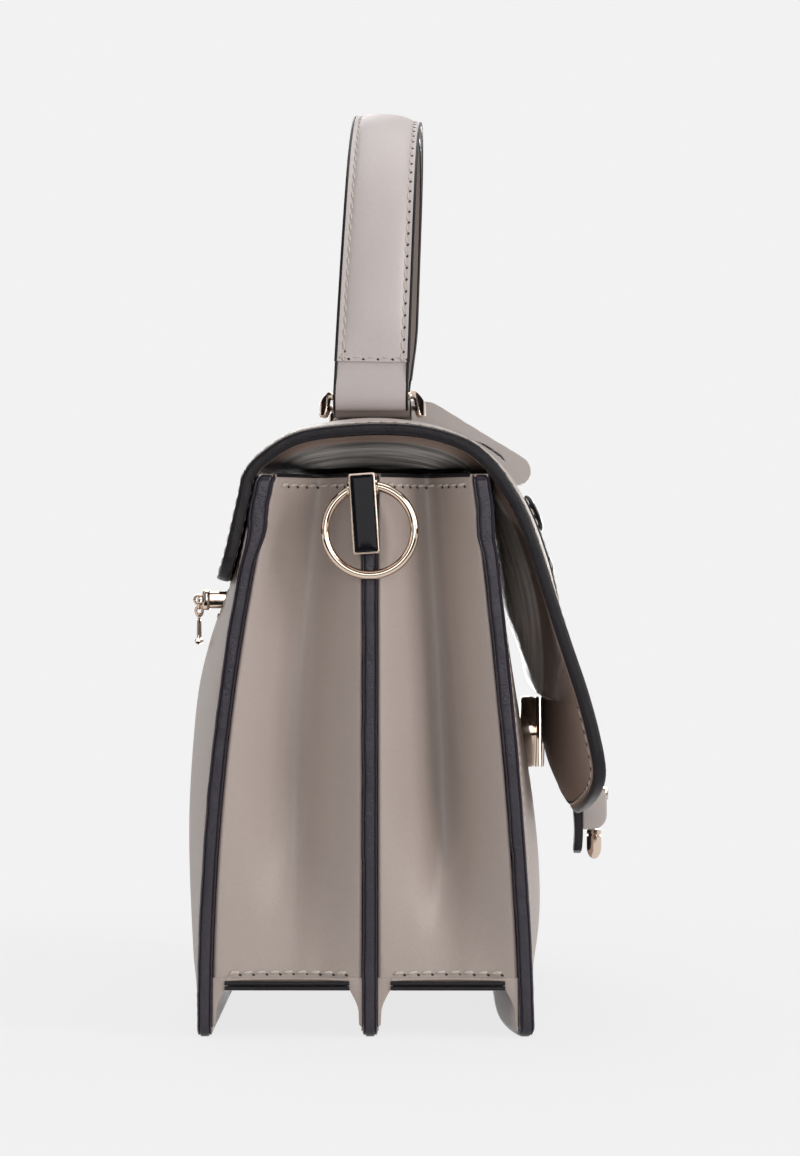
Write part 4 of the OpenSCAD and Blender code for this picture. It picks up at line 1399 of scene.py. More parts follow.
def arch_normal(share):
    step = 0.002
    x0, z0 = arch_line(max(0, share - step))
    x1, z1 = arch_line(min(1, share + step))
    return Vector((-(z1 - z0), 0, x1 - x0)).normalized()


def arch_point(share, column, height):
    """A point on the handle: column is its place across, height its place outwards."""
    x, z = arch_line(share)
    rise = (z - BAR_Z) / ARCH_HEIGHT
    inset = mix(FOOT_INSET, TOP_INSET, rise)
    half = mix(HANDLE_WIDTH, HANDLE_TOP_WIDTH, rise) / 2 - inset
    normal = arch_normal(share)
    twist = HANDLE_TWIST * eased((share - 0.25) / 0.5) * (0.3 - 1.3 * eased(rise * 3))
    centre = Vector((x, inset - HANDLE_LEAN * rise + twist, z))
    tilt = HANDLE_TILT * rise
    side = Vector((0, -math.cos(tilt), -math.sin(tilt)))
    outward = (normal - side * normal.dot(side)).normalized()
    return centre + side * column * half + outward * height


PAD_COLUMNS = [i / 20 for i in range(-20, 21)]


def pad_height(column, share):
    """Height of the padded cover above its flat edge."""
    inside = max(0, 1 - (abs(column) / PAD_SEAM) ** 2.4)
    ends = eased((share - PAD_END) / 0.055) * eased((1 - PAD_END - share) / 0.055)
    groove = 0.22 * hump(abs(column), PAD_SEAM, 0.035)
    return 1.75 * inside**0.75 * ends - groove


def make_handle():
    inner = LOOP + LEATHER
    seam = LOOP + 0.5
    shares = evenly(PAD_END, 1 - PAD_END, 120)
    outer_face = [[arch_point(s, c, inner + pad_height(c, s)) for c in PAD_COLUMNS] for s in shares]
    under_face = [[arch_point(s, c, seam + 0.02) for c in PAD_COLUMNS] for s in shares]
    ride(sheet("handle_cover", outer_face, under_face, "handle"), "handle", "handle_strap")
    pad_faces = []
    for height in (LOOP - 0.35, -LOOP + 0.1):
        pad_faces.append([[arch_point(s, c * 0.74, height) for c in PAD_COLUMNS[::2]]
                          for s in evenly(0.05, 0.95, 120)])
    pad = sheet("handle_pad", *pad_faces, "foam")
    ride(pad, "handle", "handle_padding")
    make_under_strap(seam)
    make_handle_edges()
    make_handle_stitches(inner)


def strap_heights(share, seam):
    """Inner and outer height of the strap over the arch, skived thinner under the cover."""
    skived = eased((share - PAD_END + 0.02) / 0.02) * eased((1 - PAD_END - share + 0.02) / 0.02)
    return mix(LOOP, LOOP - 0.3, skived), mix(LOOP + LEATHER, seam, skived)


def bar_point(side, turn, radius, column):
    """A point on the strap's turn round a bar."""
    out = Vector((math.cos(turn), 0, math.sin(turn)))
    low = BAR_Z - STRAP_FOLD_DROP * abs(math.sin(turn))
    middle = FOOT_INSET + (HANDLE_TWIST * 0.3 if side > 0 else 0)
    y = middle - column * (HANDLE_WIDTH / 2 - FOOT_INSET)
    return Vector((BAR_SHIFT + side * TAB_X, 0, low)) + out * radius + Vector((0, y, 0))


def make_under_strap(seam):
    """The single strap that turns round both ring bars and comes back inside."""
    columns = evenly(-1, 1, 16)
    shares = evenly(0, 1, 120)
    turns = [-math.pi * i / 13 for i in range(1, 13)]
    rings = []

    def add_ring(point_at):
        low = [point_at(c * STRAP_SHARE, 0) for c in columns]
        high = [point_at(c * STRAP_SHARE, 1) for c in reversed(columns)]
        rings.append(low + high)

    for share in shares:
        heights = strap_heights(share, seam)
        add_ring(lambda c, h: arch_point(share, c, heights[h]))
    for turn in turns:
        add_ring(lambda c, h: bar_point(1, turn, LOOP + h * LEATHER, c))
    for share in reversed(shares):
        add_ring(lambda c, h: arch_point(share, c, -LOOP - h * LEATHER))
    for turn in turns:
        add_ring(lambda c, h: bar_point(-1, turn, LOOP + h * LEATHER, c))
    ride(loft("handle_under_strap", rings, "handle", closed=True), "handle", "handle_lining")
    # A sheet on the strap's inner run in a darker lining tone, darkened further as painted shade.
    faces = []
    for height in (-LOOP - LEATHER + 0.05, -LOOP - LEATHER - 0.25):
        faces.append([[arch_point(s, c * 0.95, height) for c in columns]
                      for s in evenly(0.03, 0.97, 120)])
    ride(sheet("handle_inside_face", *faces, "handle_inside"), "handle")


def bead(point_at, low, high, width):
    """A rounded ring of edge paint: point_at takes a place out from the edge and a height."""
    ring = []
    for c, s in around(14):
        height = mix(low, high, 0.5 + squarish(s, 0.6) / 2)
        ring.append(point_at(squarish(c, 0.7) * width / 2, height))
    return ring


def make_handle_edges():
    """Painted edges of the cover and of the strap under it."""
    rows = []
    outer = (LOOP - 0.1, LOOP + LEATHER + 0.1, 1.1)

    def across_edge(out, edge, seat):
        """A column beside an edge at a place across the strap, sunk into it by seat."""
        return side * (edge + (out - seat) / (HANDLE_WIDTH / 2))

    def beads(shares, edge, seat, *section):
        return [bead(lambda o, h: arch_point(share, across_edge(o, edge, seat), h), *section)
                for share in shares]

    def bar_bead(end, turn):
        return bead(lambda o, h: bar_point(end, turn, h, across_edge(o, STRAP_SHARE, 0.3)), *outer)

    for side in (-1, 1):
        rows.append(beads(evenly(PAD_END, 1 - PAD_END, 120), 1, 0.35, LOOP - 0.3, outer[1], 1.3))
        rows.append(beads(evenly(0, 1, 120), STRAP_SHARE, 0.3, -outer[1], -LOOP + 0.1, 1.1))
        for first, last in ((0, PAD_END), (1 - PAD_END, 1)):
            rows.append(beads(evenly(first, last, 8), STRAP_SHARE, 0.3, *outer))
        for end in (-1, 1):
            rows.append([bar_bead(end, -math.pi * i / 14) for i in range(15)])
    ride(several_lofts("handle_painted_edges", rows, "dark_edge", sharp=60), "handle")


def make_handle_stitches(inner):
    end = PAD_END + 0.004

    def run(places, height, away):
        """A row through places, each a share of the arch and a column."""
        line = []
        for share, column in places:
            point = arch_point(share, column, height)
            line.append((point, arch_point(share, column, away) - point))
        return line

    runs = []
    for column in (-PAD_SEAM, PAD_SEAM):
        runs.append(run([(s, column) for s in evenly(end, 1 - end, 120)], inner - 0.1, inner + 1))
        runs.append(run([(s, column) for s in evenly(0.02, 0.98, 120)], -inner, -inner - 1))
    for share in (end, 1 - end):
        places = [(share, c) for c in evenly(-PAD_SEAM, PAD_SEAM, 10)]
        runs.append(run(places, inner - 0.05, inner + 1))
    sew("handle", "handle_stitches", runs)


# Handle rings and tabs


def ring_path(side):
    """Centre line of a handle ring as it lies at rest, and its plane's normal."""
    half = HANDLE_WIDTH / 2 + SEAT_GAP + 3.7
    flat = rounded_outline(RING_PITCH / 2, half, 4.45, 17)
    cos, sin = math.cos(RISE), math.sin(RISE)
    path = []
    for a, y in paced(flat + flat[:1], 1.5):
        x = RING_PITCH / 2 + a
        path.append(Vector((side * TAB_X - x * cos, y, TAB_AXIS_Z + x * sin)))
    return path, Vector((sin, 0, cos))


def ring_section(flat, low, high):
    """Section of a handle ring: round inside its loops, a dished band at its ends."""
    section = []
    middle, half = (low + high) / 2, (high - low) / 2
    for out, up in around(24):
        dished = (0.95 + 0.4 * abs(up) ** 3) * squarish(out, 0.45)
        upright = middle + half * squarish(up, 0.7)
        section.append((mix(RING_WIRE * out, dished, flat), mix(RING_WIRE * up, upright, flat)))
    return section


def make_handle_rings():
    """Rings that arch beside the handle's ends and reach down to the flap."""
    for side, name in SIDES:
        path, normal = ring_path(side)
        rings = []
        count = len(path)
        for i, point in enumerate(path):
            along = (path[(i + 1) % count] - path[i - 1]).normalized()
            out = along.cross(normal).normalized()
            wide = abs(point.y)
            beyond = min(1, max(0, (wide - 12.2) / 4.95))
            reach = eased((abs(point.x) - TAB_X) / RING_PITCH)
            high = mix(0.8, 2.4, reach) - mix(0.5, 5.0, reach) * (1 - math.sqrt(1 - beyond**2))
            low = -mix(0.4, mix(3.8, 7.4, reach), eased((wide - 14.1) / 1.5))
            flat = eased((wide - (12.3 if point.y < 0 else 13.3)) / 0.9)
            rings.append([point + out * a + normal * b for a, b in ring_section(flat, low, high)])
        ride(loft(name + "_ring_wire", rings, "gold", closed=True, sharp=60),
             name + "_ring", name + "_handle_ring")


def tab_outline():
    """Under and upper side of a tab, from its end to where it closes round the ring's bar."""
    lower = [(x, TAB_FOOT) for x in evenly(TAB_END, TAB_X, 12)]
    upper = [(x, TAB_FOOT + LEATHER) for x in evenly(TAB_END, TAB_X, 12)]
    for i in range(1, 19):
        turn = -math.pi / 2 + math.radians(250) * i / 18
        for line, radius in ((lower, LOOP + LEATHER), (upper, LOOP)):
            line.append((TAB_X + radius * math.cos(turn), TAB_AXIS_Z + radius * math.sin(turn)))
    return lower, upper


def tab_half(x):
    return TAB_HALF - 3 * round_end((x - TAB_END) / 3)


def make_tabs():
    """Leather tabs that hold the handle rings on the flap, with their rivets."""
    outline = tab_outline()
    top = TAB_FOOT + LEATHER
    seam_x, seam_end, seam_y = TAB_X - 6, TAB_X - 23.5, TAB_HALF - 2.4
    seam = [(seam_x, -seam_y), (seam_end, -seam_y), (seam_end, seam_y), (seam_x, seam_y)]
    rivet = [(0, 0), (3.9, 0), (4.0, 0.25), (3.85, 0.6), (3.2, 0.95), (2.0, 1.15), (0, 1.2)]
    runs, paint, discs = [], [], []
    for side, name in SIDES:
        faces = [[[(side * x, c * tab_half(x), z) for c in evenly(-1, 1, 16)] for x, z in line]
                 for line in outline]
        name += "_handle_tab"
        ride(sheet(name + "_leather", *faces, "leather"), "flap", name)
        for edge in (-1, 1):
            line = []
            for (x, z), (x2, z2) in zip(*outline):
                y = edge * (tab_half(x) + 0.05)
                mid, arm = Vector((x + x2, 0, z + z2)) / 2, Vector((x - x2, 0, z - z2)) / 2 * 1.12
                points = [(mid + arm * s, y + edge * 0.45 * c) for c, s in around(10)]
                line.append([(side * p.x, out, p.z) for p, out in points])
            paint.append(line)
        run = []
        for (x0, y0), (x1, y1) in zip(seam, seam[1:]):
            places = zip(evenly(x0, x1, 6), evenly(y0, y1, 6))
            run += [((side * x, y, top), (0, 0, 1)) for x, y in places]
        runs.append(run)
        discs.append(turned_rings(rivet, (side * (TAB_X - 17), 0, top + PLY_GAP), (0, 0, 1), 36))
    ride(several_lofts("tab_painted_edges", paint, "dark_edge"), "flap")
    ride(several_lofts("tab_rivet_heads", discs, "gold"), "flap", "tab_rivets")
    sew("flap", "tab_stitches", runs, pitch=3.6, length=2.7)


# Side clips and rings


def tilted(x, y, z):
    """The side clips hang slightly off plumb, turned about their foot."""
    rise = z - CLIP_FOOT
    cos, sin = math.cos(CLIP_TILT), math.sin(CLIP_TILT)
    return x, CLIP_SHIFT + y * cos + rise * sin, CLIP_FOOT + rise * cos - y * sin


def frame_ring(half_y, low, high, x, rounding, side):
    """A rounded rectangle facing sideways, on a side clip."""
    ring = []
    for a, b in rounded_outline(half_y, (high - low) / 2, rounding):
        _, y, z = tilted(x, a, (low + high) / 2 + b)
        ring.append((side * -x, y, z))
    return ring


# Insets and depths behind the face, for the plate with a rounding and for the enamel
CLIP_PLATE = ((0, 1.9, 0.6), (0, 0.35, 0.6), (0.12, 0.1, 0.6), (0.25, 0, 0.5), (0.42, 0, 0.4),
              (0.5, 0.12, 0.4), (0.54, 0.8, 0.4))
CLIP_ENAMEL = ((0.57, 0.57, 0.75), (0.57, 0.57, 0.3), (0.8, 0.8, 0.16), (2.2, 2.2, 0.08),
               (3.4, 6, 0.05))
CLIP_BUSH = [(1.9, -0.6), (2.55, -0.5), (2.6, 0.35), (2.3, 0.75), (1.85, 0.8)]


def make_side_clips():
    half = CLIP_WIDTH / 2
    low, high, face = CLIP_FOOT, CLIP_TOP, CLIP_FACE_X
    for side, name in SIDES:
        plate = []
        for inset, x, rounding in CLIP_PLATE:
            foot, top = low + inset, high - inset
            plate.append(frame_ring(half - inset, foot, top, face + x, rounding, side))
        bars = [plate]
        for half_y, foot, top, rounding in ((half - 0.5, low + 0.3, low + 4, 0.5),
                                            (half - 0.3, high - 8.2, high - 6.4, 0.4),
                                            (half - 0.3, high - 1.9, high - 0.2, 0.4)):
            bars.append([frame_ring(half_y, foot, top, x, rounding, side)
                         for x in (CLIP_BACK_X, face + 2)])
        ride(several_lofts(name + "_clip_body", bars, "gold"), "bag", name + "_side_clip")
        inlay = []
        for in_y, in_z, x in CLIP_ENAMEL:
            half_y = half - in_y
            rounding = max(0.3, min(0.5, half_y * 0.4))
            inlay.append(frame_ring(half_y, low + in_z, high - in_z, face + x, rounding, side))
        ride(loft(name + "_clip_enamel", inlay, "enamel"), "bag", name + "_inlay")
        bushes = []
        for edge in (-1, 1):
            _, y, z = tilted(SIDE_RING_X, edge * (half - 0.1), CLIP_HOLE_Z)
            bushes.append(turned_rings(CLIP_BUSH, (side * SIDE_RING_X, y, z), (0, edge, 0), 28))
        ride(several_lofts(name + "_clip_bushes", bushes, "gold"), "bag")


def make_side_rings():
    for side, name in SIDES:
        middle = Vector((side * SIDE_RING_X, 0, SIDE_RING_Z))
        path = [middle + SIDE_RING_RADIUS * Vector((0, c, s)) for c, s in around(96)]
        rings = wire_rings(path, WIRE, Vector((1, 0, 0)), 20)
        ride(loft(name + "_ring_round", rings, "gold", closed=True, sharp=80),
             name + "_side_loop", name + "_side_ring")


# Lock


def make_lock():
    forwards = (0, -1, 0)
    low, high = box_of("lock_socket")
    deep = high.y - low.y
    seat = high.y + 0.15 - front_outside(0, LOCK_Z)
    core, outer, neck = 8.0, 12.5, 12.2
    body = [
        (core, deep - 1.8), (core, 0.02), (core, seat), (11.8, seat), (12.4, seat + 0.25),
        (outer, seat + 0.6), (outer, 0.4), (neck, 0.7), (neck, 1.2), (outer, 1.5),
        (12.45, deep - 0.35), (12.1, deep - 0.05), (11.4, deep), (9.6, deep),
        (9.3, deep - 0.3), (0, deep - 0.3),
    ]
    magnet = [(0, 0.1), (7.6, 0.1), (7.85, 0.3), (7.85, 1.5), (7.6, 1.68), (0, 1.68)]
    washer = [(2.5, 0), (7.7, 0), (8.0, 0.2), (8.0, 0.6), (7.7, 0.8), (2.5, 0.8)]
    seat_low, seat_high = box_of("lock_plate")
    thick = seat_high.y - seat_low.y
    plate = [(0, 0), (11.5, 0), (12.2, 0.12), (12.5, 0.4), (12.45, thick - 0.3), (12.1, thick),
             (10.2, thick), (9.9, thick - 0.2), (0, thick - 0.2)]
    washer_y = box_of("lock_washer")[1].y
    for name, profile, y, finish, steps, carrier in (
        ("lock_socket_body", body, high.y, "gold", 64, "bag"),
        ("lock_magnet_disc", magnet, high.y, "magnet", 48, "bag"),
        ("lock_washer_disc", washer, washer_y, "magnet", 48, "bag"),
        ("lock_plate_disc", plate, seat_high.y, "gold", 64, "flap"),
    ):
        disc = turned(name, profile, (0, y, LOCK_Z), forwards, finish, steps)
        ride(disc, carrier, name.rsplit("_", 1)[0])


# Back pocket with its zip


def make_zip():
    inner = ZIP_HALF - 0.4

    def zip_y(x):
        return rear_outside(x, ZIP_Z) - LEATHER

    def grid(shift):
        return [[(x, zip_y(x) + shift - 0.15 * math.cos((z - ZIP_Z) * 1.2), z)
                 for x in evenly(-inner, inner, 40)] for z in evenly(ZIP_Z - 3.1, ZIP_Z + 3.1, 8)]

    ride(sheet("zip_cloth", grid(0), grid(-0.7), "tape"), "bag", "zip_tape")
    runs = []
    for row, shift in ((-1, 0), (1, 0.75)):
        xs = evenly(-inner + 0.6 + shift, inner - 0.6, 30)
        runs.append([((x, zip_y(x) + 0.6, ZIP_Z + row * 0.75), (0, 1, 0)) for x in xs])
    teeth = row_piece("zip_metal_teeth", runs, BLOCK_ROW, "gold",
                      Pitch=1.5, Length=0.85, Breadth=2.1, Height=1.1)
    ride(teeth, "bag", "zip_teeth")
    half_x, half_z = ZIP_HALF + 2.6, ZIP_WINDOW / 2 + 2.4
    corners = [(-half_x, half_z), (-half_x, -half_z), (half_x, -half_z), (half_x, half_z)]
    run = [((x, rear_outside(x, ZIP_Z + z), ZIP_Z + z), (0, 1, 0))
           for x, z in paced(corners + corners[:1], 5, 2)]
    sew("bag", "zip_frame_stitches", [run + run[:1]], pitch=3.4, length=2.5)
    make_pocket()
    make_slider()
    make_pull()


def make_pocket():
    """The bag of lining that hangs behind the zip."""

    def point(u, v, depth):
        x, z = mix(-ZIP_HALF, ZIP_HALF, u), mix(ZIP_Z - 90, ZIP_Z + 7, v)
        sag = 0.5 * math.sin(math.pi * u) * math.sin(math.pi * v) if depth else 0
        return x, rear_inside(x, z) - 0.8 - depth - sag, z

    grids = [[[point(u, v, depth) for u in evenly(0, 1, 30)] for v in evenly(0, 1, 24)]
             for depth in (0, 1.1)]
    ride(sheet("pocket_lining_bag", *grids, "lining"), "bag", "pocket_bag")


ALONG_X = Vector((1, 0, 0))
ALONG_Y = Vector((0, 1, 0))


def middle_x(node):
    low, high = box_of(node)
    return (low.x + high.x) / 2


def make_slider():
    face_y = PULL_Y - 3.8
    x = middle_x("zip_slider")

    def ring(y, size, half_a, half_b, rounding):
        outline = rounded_outline(half_a, half_b, rounding)
        return [(x + a * size, y, ZIP_Z + b * size) for a, b in outline]

    plate = [ring(face_y + out, size, 4, 3.5, 1.6)
             for out, size in ((0, 0.8), (0.3, 0.97), (0.8, 1), (1.8, 1), (2.3, 0.93), (2.6, 0.75))]
    stem = [ring(y, 1, 3.2, 2.9, 1.2)
            for y in (rear_outside(x, ZIP_Z) - LEATHER + 0.8, face_y + 0.4)]
    ride(several_lofts("zip_slider_body", [plate, stem], "gold"), "slider", "zip_slider")
    bridge = [Vector((x, PULL_Y + 1.62 * c, ZIP_Z + 1.62 * s)) for c, s in around(24)]
    eye = wire_rings(bridge, 0.45, ALONG_X, 12, flat=2.4)
    ride(loft("zip_slider_eye", eye, "gold", closed=True), "slider")


def make_pull():
    """Links, a wire frame and an end bar that hang from the slider."""
    x = middle_x("zip_pull")

    def link(below, half_wide, half_high, wide, up):
        centre = Vector((x, PULL_Y, ZIP_Z - below))
        path = [centre + wide * half_wide * c + Vector((0, 0, half_high * s))
                for c, s in around(28)]
        return wire_rings(path, 0.5, up, 10)

    corners = [(-1.6, -7.2), (1.6, -7.2), (3.2, -12.9), (-3.2, -12.9)]
    path = []
    for (a, b), (c, d) in zip(corners, corners[1:] + corners[:1]):
        path += [Vector((x + mix(a, c, k / 8), PULL_Y, ZIP_Z + mix(b, d, k / 8))) for k in range(8)]
    links = [
        link(1.1, 1.2, 1.8, ALONG_X, ALONG_Y),
        link(3.8, 1.1, 1.7, ALONG_Y, ALONG_X),
        link(6.2, 1.2, 1.6, ALONG_X, ALONG_Y),
        wire_rings(path, 0.65, ALONG_Y, 12),
    ]
    ride(several_lofts("zip_pull_links", links, "gold", closed=True), "pull", "zip_pull")
    half = [(0, 7), (0.8, 6.95), (1.1, 6.6), (1.1, 4.4), (0.85, 4.2), (0.85, 3.8), (1.05, 3.6)]
    profile = [(radius, -out) for radius, out in half] + [(1.1, 0)] + half[::-1]
    ride(turned("zip_pull_bar", profile, (x, PULL_Y, ZIP_Z - 14), ALONG_X, "gold", 28), "pull")


# Belt over the flap, its knobs and tail


def tongue_half(share):
    """Half width of the belt's tongue, drawn in at its round foot."""
    return (BELT_WIDTH / 2 - 0.5) * (1 - 0.28 * round_end(share * 18))


def make_belt():
    seat = FLAP_THICK + SEAT_GAP
    top = seat + BELT_THICK
    places = [(mix(TONGUE_START, TONGUE_END, share) * PATH_END, tongue_half(share))
              for share in evenly(0, 1, 60)]
    columns = (-1, -0.96, -0.85, -0.6, -0.3, 0, 0.3, 0.6, 0.85, 0.96, 1)
    grids = []
    for height, puff in ((top, 0.35), (seat + 0.05, 0)):
        grids.append([[flap_shell(c * half, at, height - puff * abs(c) ** 6) for c in columns]
                      for at, half in places])
    ride(sheet("belt_tongue_leather", *grids, "belt"), "flap", "belt_tongue")
    paint, runs = [], []
    for side in (-1, 1):
        line, run = [], []
        for at, half in places:
            line.append(bead(lambda o, h: flap_shell(side * (half + o * 0.9), at, h),
                             seat, top, 1.1))
            point = flap_shell(side * (half - 2.6), at, top - 0.02)
            run.append((point, flap_normal(side * half, at)))
        paint.append(line)
        runs.append(run)
    make_belt_loop(seat)
    ride(several_lofts("belt_painted_edges", paint, "dark_edge"), "flap")
    sew("flap", "belt_stitches", runs, pitch=3.8, length=2.8)
    make_knobs()
    make_tail()


LOOP_RISES = [1, 1.04, 0.84, 0.71, 0.68, 0.72, 0.85, 1.06, 1]
LOOP_NOSE = 0.105
LOOP_SHARES = [0, 0.002, 0.006, 0.012, 0.02, 0.032, 0.048, 0.066, 0.085]
LOOP_SHARES += [LOOP_NOSE + 0.02 * i for i in range(44)] + [1]


def make_belt_loop(seat):
    """The stiff upper end of the belt, doubled over, with a slit behind its round nose."""
    columns = (-1, -0.96, -0.8, -0.5, 0, 0.5, 0.8, 0.96, 1)

    def rise(share):
        place = share * 8
        i = min(7, int(place))
        return LOOP_HEIGHT * mix(LOOP_RISES[i], LOOP_RISES[i + 1], place - i)

    def split(share):
        return rise(share) * mix(0.42, 0.3, share)

    def gap(share):
        return 0.9 * eased((share - 0.2) / 0.06) * (1 - eased((share - 0.4) / 0.12))

    def rounded(share, height):
        """Height of a line of the loop, drawn together towards the nose."""
        middle = rise(share) / 2
        closing = math.sqrt(max(0.003, 1 - max(0, 1 - share / LOOP_NOSE) ** 2))
        return middle + (height - middle) * closing

    def grid(height_at, puff=0):
        rows = []
        for share in LOOP_SHARES:
            at = mix(LOOP_START, LOOP_END, share) * PATH_END
            height = seat + rounded(share, height_at(share))
            rows.append([flap_shell(c * BELT_WIDTH / 2, at, height - puff * abs(c) ** 6)
                         for c in columns])
        return rows

    for name, top, foot in (
        ("belt_loop_upper", grid(rise, 0.25), grid(lambda share: split(share) + gap(share))),
        ("belt_loop_lower", grid(lambda share: split(share) + 0.05), grid(lambda share: 0.05)),
    ):
        ride(sheet(name, top, foot, "belt", sharp=50), "flap", "belt_loop")


KNOB = [(0, 0), (6.0, 0), (6.3, 0.5), (6.9, 0.8), (7.0, 1.3), (6.6, 2.0), (5.6, 2.6),
        (3.6, 3.0), (0, 3.1)]
STUD = [(0, 0), (3.4, 0), (3.6, 0.3), (4.0, 0.6), (3.9, 1.0), (3.3, 1.4), (2.1, 1.65),
        (0, 1.7)]


def make_knobs():
    """The dark knob and stud on the belt."""
    for name, share, profile, node in (("belt_knob_cap", KNOB_AT, KNOB, "belt_knob"),
                                       ("belt_stud_cap", STUD_AT, STUD, "belt_studs")):
        base = flap_shell(0, share * PATH_END, FLAP_THICK + BELT_THICK - 0.6)
        axis = flap_normal(0, share * PATH_END)
        ride(turned(name, profile, base, axis, "enamel", 40), "flap", node)


def make_tail():
    """The block, keeper, strap and pin that hang from the belt's foot."""
    low, high = box_of("tail_block")
    half = (high.x - low.x) / 2
    outline = [(high.y, high.z), (low.y + 1.2, high.z), (low.y, high.z - 1.6), (low.y, low.z + 5)]
    for i in range(1, 7):
        turn = math.pi / 2 * i / 6
        outline.append((low.y + 5 - 5 * math.cos(turn), low.z + 5 - 5 * math.sin(turn)))
    outline.append((high.y, low.z))
    ride(prism("tail_block_leather", outline, -half, half, "belt", bevel=0.7), "flap", "tail_block")
    front, back, top, foot = low.y - 0.5, low.y + 1.2, high.z + 0.6, high.z - 3.4
    outline = [(front, top), (back, top), (back, foot), (front, foot)]
    ride(prism("tail_keeper", outline, -half + 0.8, half - 0.8, "gold", bevel=0.4), "flap")
    low, high = box_of("tail_strap")
    rings = []
    for share in evenly(0, 1, 14):
        size = math.sqrt(max(0.05, 1 - max(0, (share - 0.86) / 0.14) ** 2))
        middle = (low.y + high.y) / 2 - 0.5 * math.sin(math.pi * share)
        deep = (high.y - low.y) / 2 * mix(0.7, 1, size)
        wide = (high.x - low.x) / 2 * size
        z = mix(high.z, low.z, share)
        rings.append([(a * wide, middle + b * deep, z) for a, b in rounded_outline(1, 1, 0.35)])
    ride(loft("tail_strap_leather", rings, "dark_edge"), "flap", "tail_strap")
    low, high = box_of("tail_pin")
    height, radius = high.z - low.z, (high.x - low.x) / 2
    profile = [(0, 0)]
    profile += [(radius * share, down) for share, down in (
        (0.85, 0.05), (0.98, 0.4), (0.98, 1.6), (0.78, 1.8), (0.78, 2.3), (1, 2.5), (1, 6.6),
        (0.96, 7.6), (0.84, 8.7), (0.62, 9.7), (0.34, height - 0.2))]
    profile.append((0, height))
    top = ((low.x + high.x) / 2, (low.y + high.y) / 2, high.z)
    ride(turned("tail_pin_bullet", profile, top, (0, 0, -1), "gold", 36), "flap", "tail_pin")


# Stitches round the leaves


def make_leaf_stitches():
    """Rows of stitches that hold the bound edges, on both faces of the outer leaves."""
    runs = []
    half = BAG_WIDTH / 2 - SEAM_INSET
    path = rim_path(half, LEAF_HEIGHT - 1, LEAF_CORNER, 2, foot=SEAM_INSET)
    turns_up = [out_z > 0.05 for _, _, (_, out_z) in path].index(True)
    below_top = [(x, z) for x, z, _ in path[:turns_up]]
    for leaf, way in ((rear_y, 1), (rear_y, -1), (front_y, -1), (front_y, 1)):
        runs.append([((x, leaf(x, z) + way * LEAF_HALF, z), (0, way, 0)) for x, z in below_top])
    ride(row_piece("leaf_stitches", runs, BEAD_ROW, "thread", Pitch=3.2, Length=2.4, Breadth=0.5,
                   Height=0.35, Slant=0.14), "bag")


# Floor, backdrop and light


PAPER = tone(242, 242, 242)
SEEN_BY = ("Is Camera Ray", "Is Glossy Ray", "Is Transmission Ray")


def glowing(recipe, colour):
    return recipe.add("ShaderNodeEmission", values={"Color": colour, "Strength": 1.0})


def make_stage():
    """A plain pale floor that fades into the backdrop and keeps the bag's shadow."""
    steps, size = 24, 6.0
    places = evenly(-size, size, steps)
    faces = []
    for j in range(steps):
        for i in range(steps):
            a = j * (steps + 1) + i
            faces.append((a, a + 1, a + steps + 2, a + steps + 1))
    mesh = bpy.data.meshes.new("floor")
    mesh.from_pydata([(x, y, 0.0) for y in places for x in places], [], faces)
    recipe = Recipe("pale_floor")
    place = recipe.add("ShaderNodeTexCoord", out="Object")
    far = recipe.add("ShaderNodeVectorMath", {"operation": "LENGTH"}, {0: place}, out=1)
    fade = ((far - 0.2) * 3.0).clamped()
    shade = recipe.between(recipe.cloud(300, 2) * 0.04, tone(243, 243, 243), tone(236, 236, 236))
    diffuse = recipe.add("ShaderNodeBsdfDiffuse", values={"Color": shade})
    camera, glossy, through = (recipe.add("ShaderNodeLightPath", out=ray) for ray in SEEN_BY)
    share = (camera + glossy + through).clamped() * (fade * 0.12 + 0.88)
    values = {0: share, 1: diffuse, 2: glowing(recipe, PAPER)}
    mesh.materials.append(recipe.surface(recipe.add("ShaderNodeMixShader", values=values)))
    put("floor", mesh)


def make_world():
    """Soft grey light, with the pale backdrop where the camera and reflections see it."""
    world = bpy.data.worlds.new("studio")
    bpy.context.scene.world = world
    recipe = Recipe("studio", world)
    camera, glossy, through = (recipe.add("ShaderNodeLightPath", out=ray) for ray in SEEN_BY)
    shown = camera.math("MAXIMUM", camera.math("MAXIMUM", camera, glossy), through)
    ambient, backdrop = (
        recipe.add("ShaderNodeBackground", values={"Color": colour, "Strength": strength})
        for colour, strength in ((tone(240, 240, 243), 0.25), (PAPER, 1.0))
    )
    values = {0: shown, 1: ambient, 2: backdrop}
    recipe.surface(recipe.add("ShaderNodeMixShader", values=values), "ShaderNodeOutputWorld")


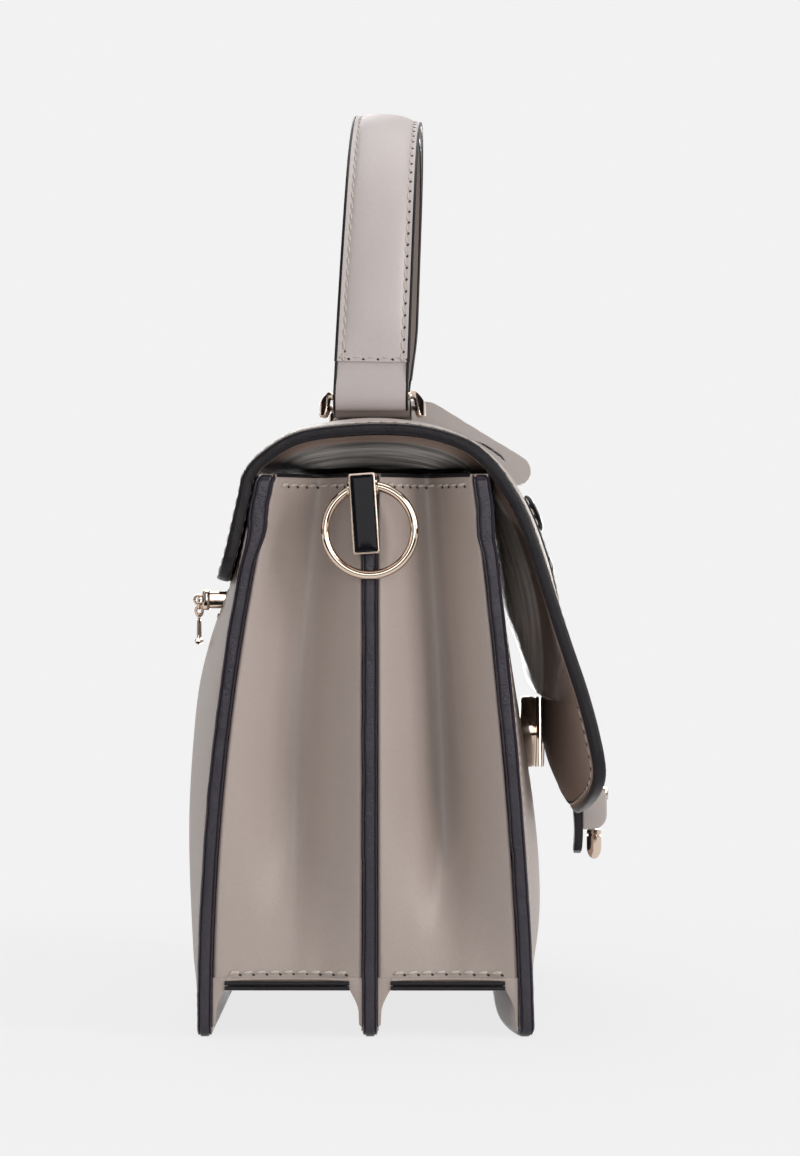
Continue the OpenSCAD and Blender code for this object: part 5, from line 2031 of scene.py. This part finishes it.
def softbox(name, place, aim, size, watts):
    lamp = bpy.data.lights.new(name, "AREA")
    lamp.shape = "RECTANGLE"
    lamp.size, lamp.size_y = size
    lamp.energy = watts
    light = put(name, lamp)
    light.location = place
    light.rotation_euler = (Vector(aim) - Vector(place)).to_track_quat("-Z", "Y").to_euler()


def make_cards():
    """Dark cards seen only in reflections, with pale gaps between them."""
    recipe = Recipe("dark_card")
    dark = recipe.surface(glowing(recipe, tone(30, 29, 31)))
    away, half, foot, top = 2.3, 1.7, 0.02, 2.8
    plan = ((-away, -1), (-0.5, -1), (-0.5, 1), (-away, 1))
    cards = [("floor_card", [(x, y, 0.004) for x, y in plan])]
    corners = ((-1, foot), (1, foot), (1, top), (-1, top))
    for name, x, y, half_x, half_y in (
        ("near_card", -away, 0, 0, half),
        ("front_card", 0, -away, half, 0),
        ("rear_card", 0, away, half, 0),
    ):
        cards.append((name, [(x + side * half_x, y + side * half_y, z) for side, z in corners]))
    for name, points in cards:
        mesh = bpy.data.meshes.new(name)
        mesh.from_pydata(points, [], [(0, 1, 2, 3)])
        mesh.materials.append(dark)
        card = put(name, mesh)
        for ray in ("camera", "diffuse", "transmission", "shadow"):
            setattr(card, "visible_" + ray, False)


def make_lights():
    softbox("key_softbox", (-1.0, -1.6, 0.85), (0, 0, 0.12), (0.7, 1.2), 17.5)
    softbox("rear_softbox", (-0.7, 1.6, 0.8), (0, 0, 0.12), (0.5, 1.2), 2)
    softbox("top_softbox", (0.1, 0, 1.6), (0, 0, 0.1), (1.3, 1.3), 10)
    softbox("far_softbox", (1.5, 0.4, 0.9), (0, 0, 0.12), (0.8, 1.2), 7)
    softbox("side_softbox", (-1.6, -0.2, 0.4), (0, 0, 0.12), (1.2, 0.6), 6)
    softbox("low_far_softbox", (1.4, -0.12, 0.12), (0, -0.07, 0.12), (0.5, 0.3), 5)


make_leaves()
make_bands()
make_gussets()
make_base()
make_flap()
make_handle()
make_handle_rings()
make_tabs()
make_side_clips()
make_side_rings()
make_lock()
make_zip()
make_belt()
make_leaf_stitches()
make_stage()
make_world()
make_cards()
make_lights()

bpy.context.scene.view_settings.view_transform = "Standard"
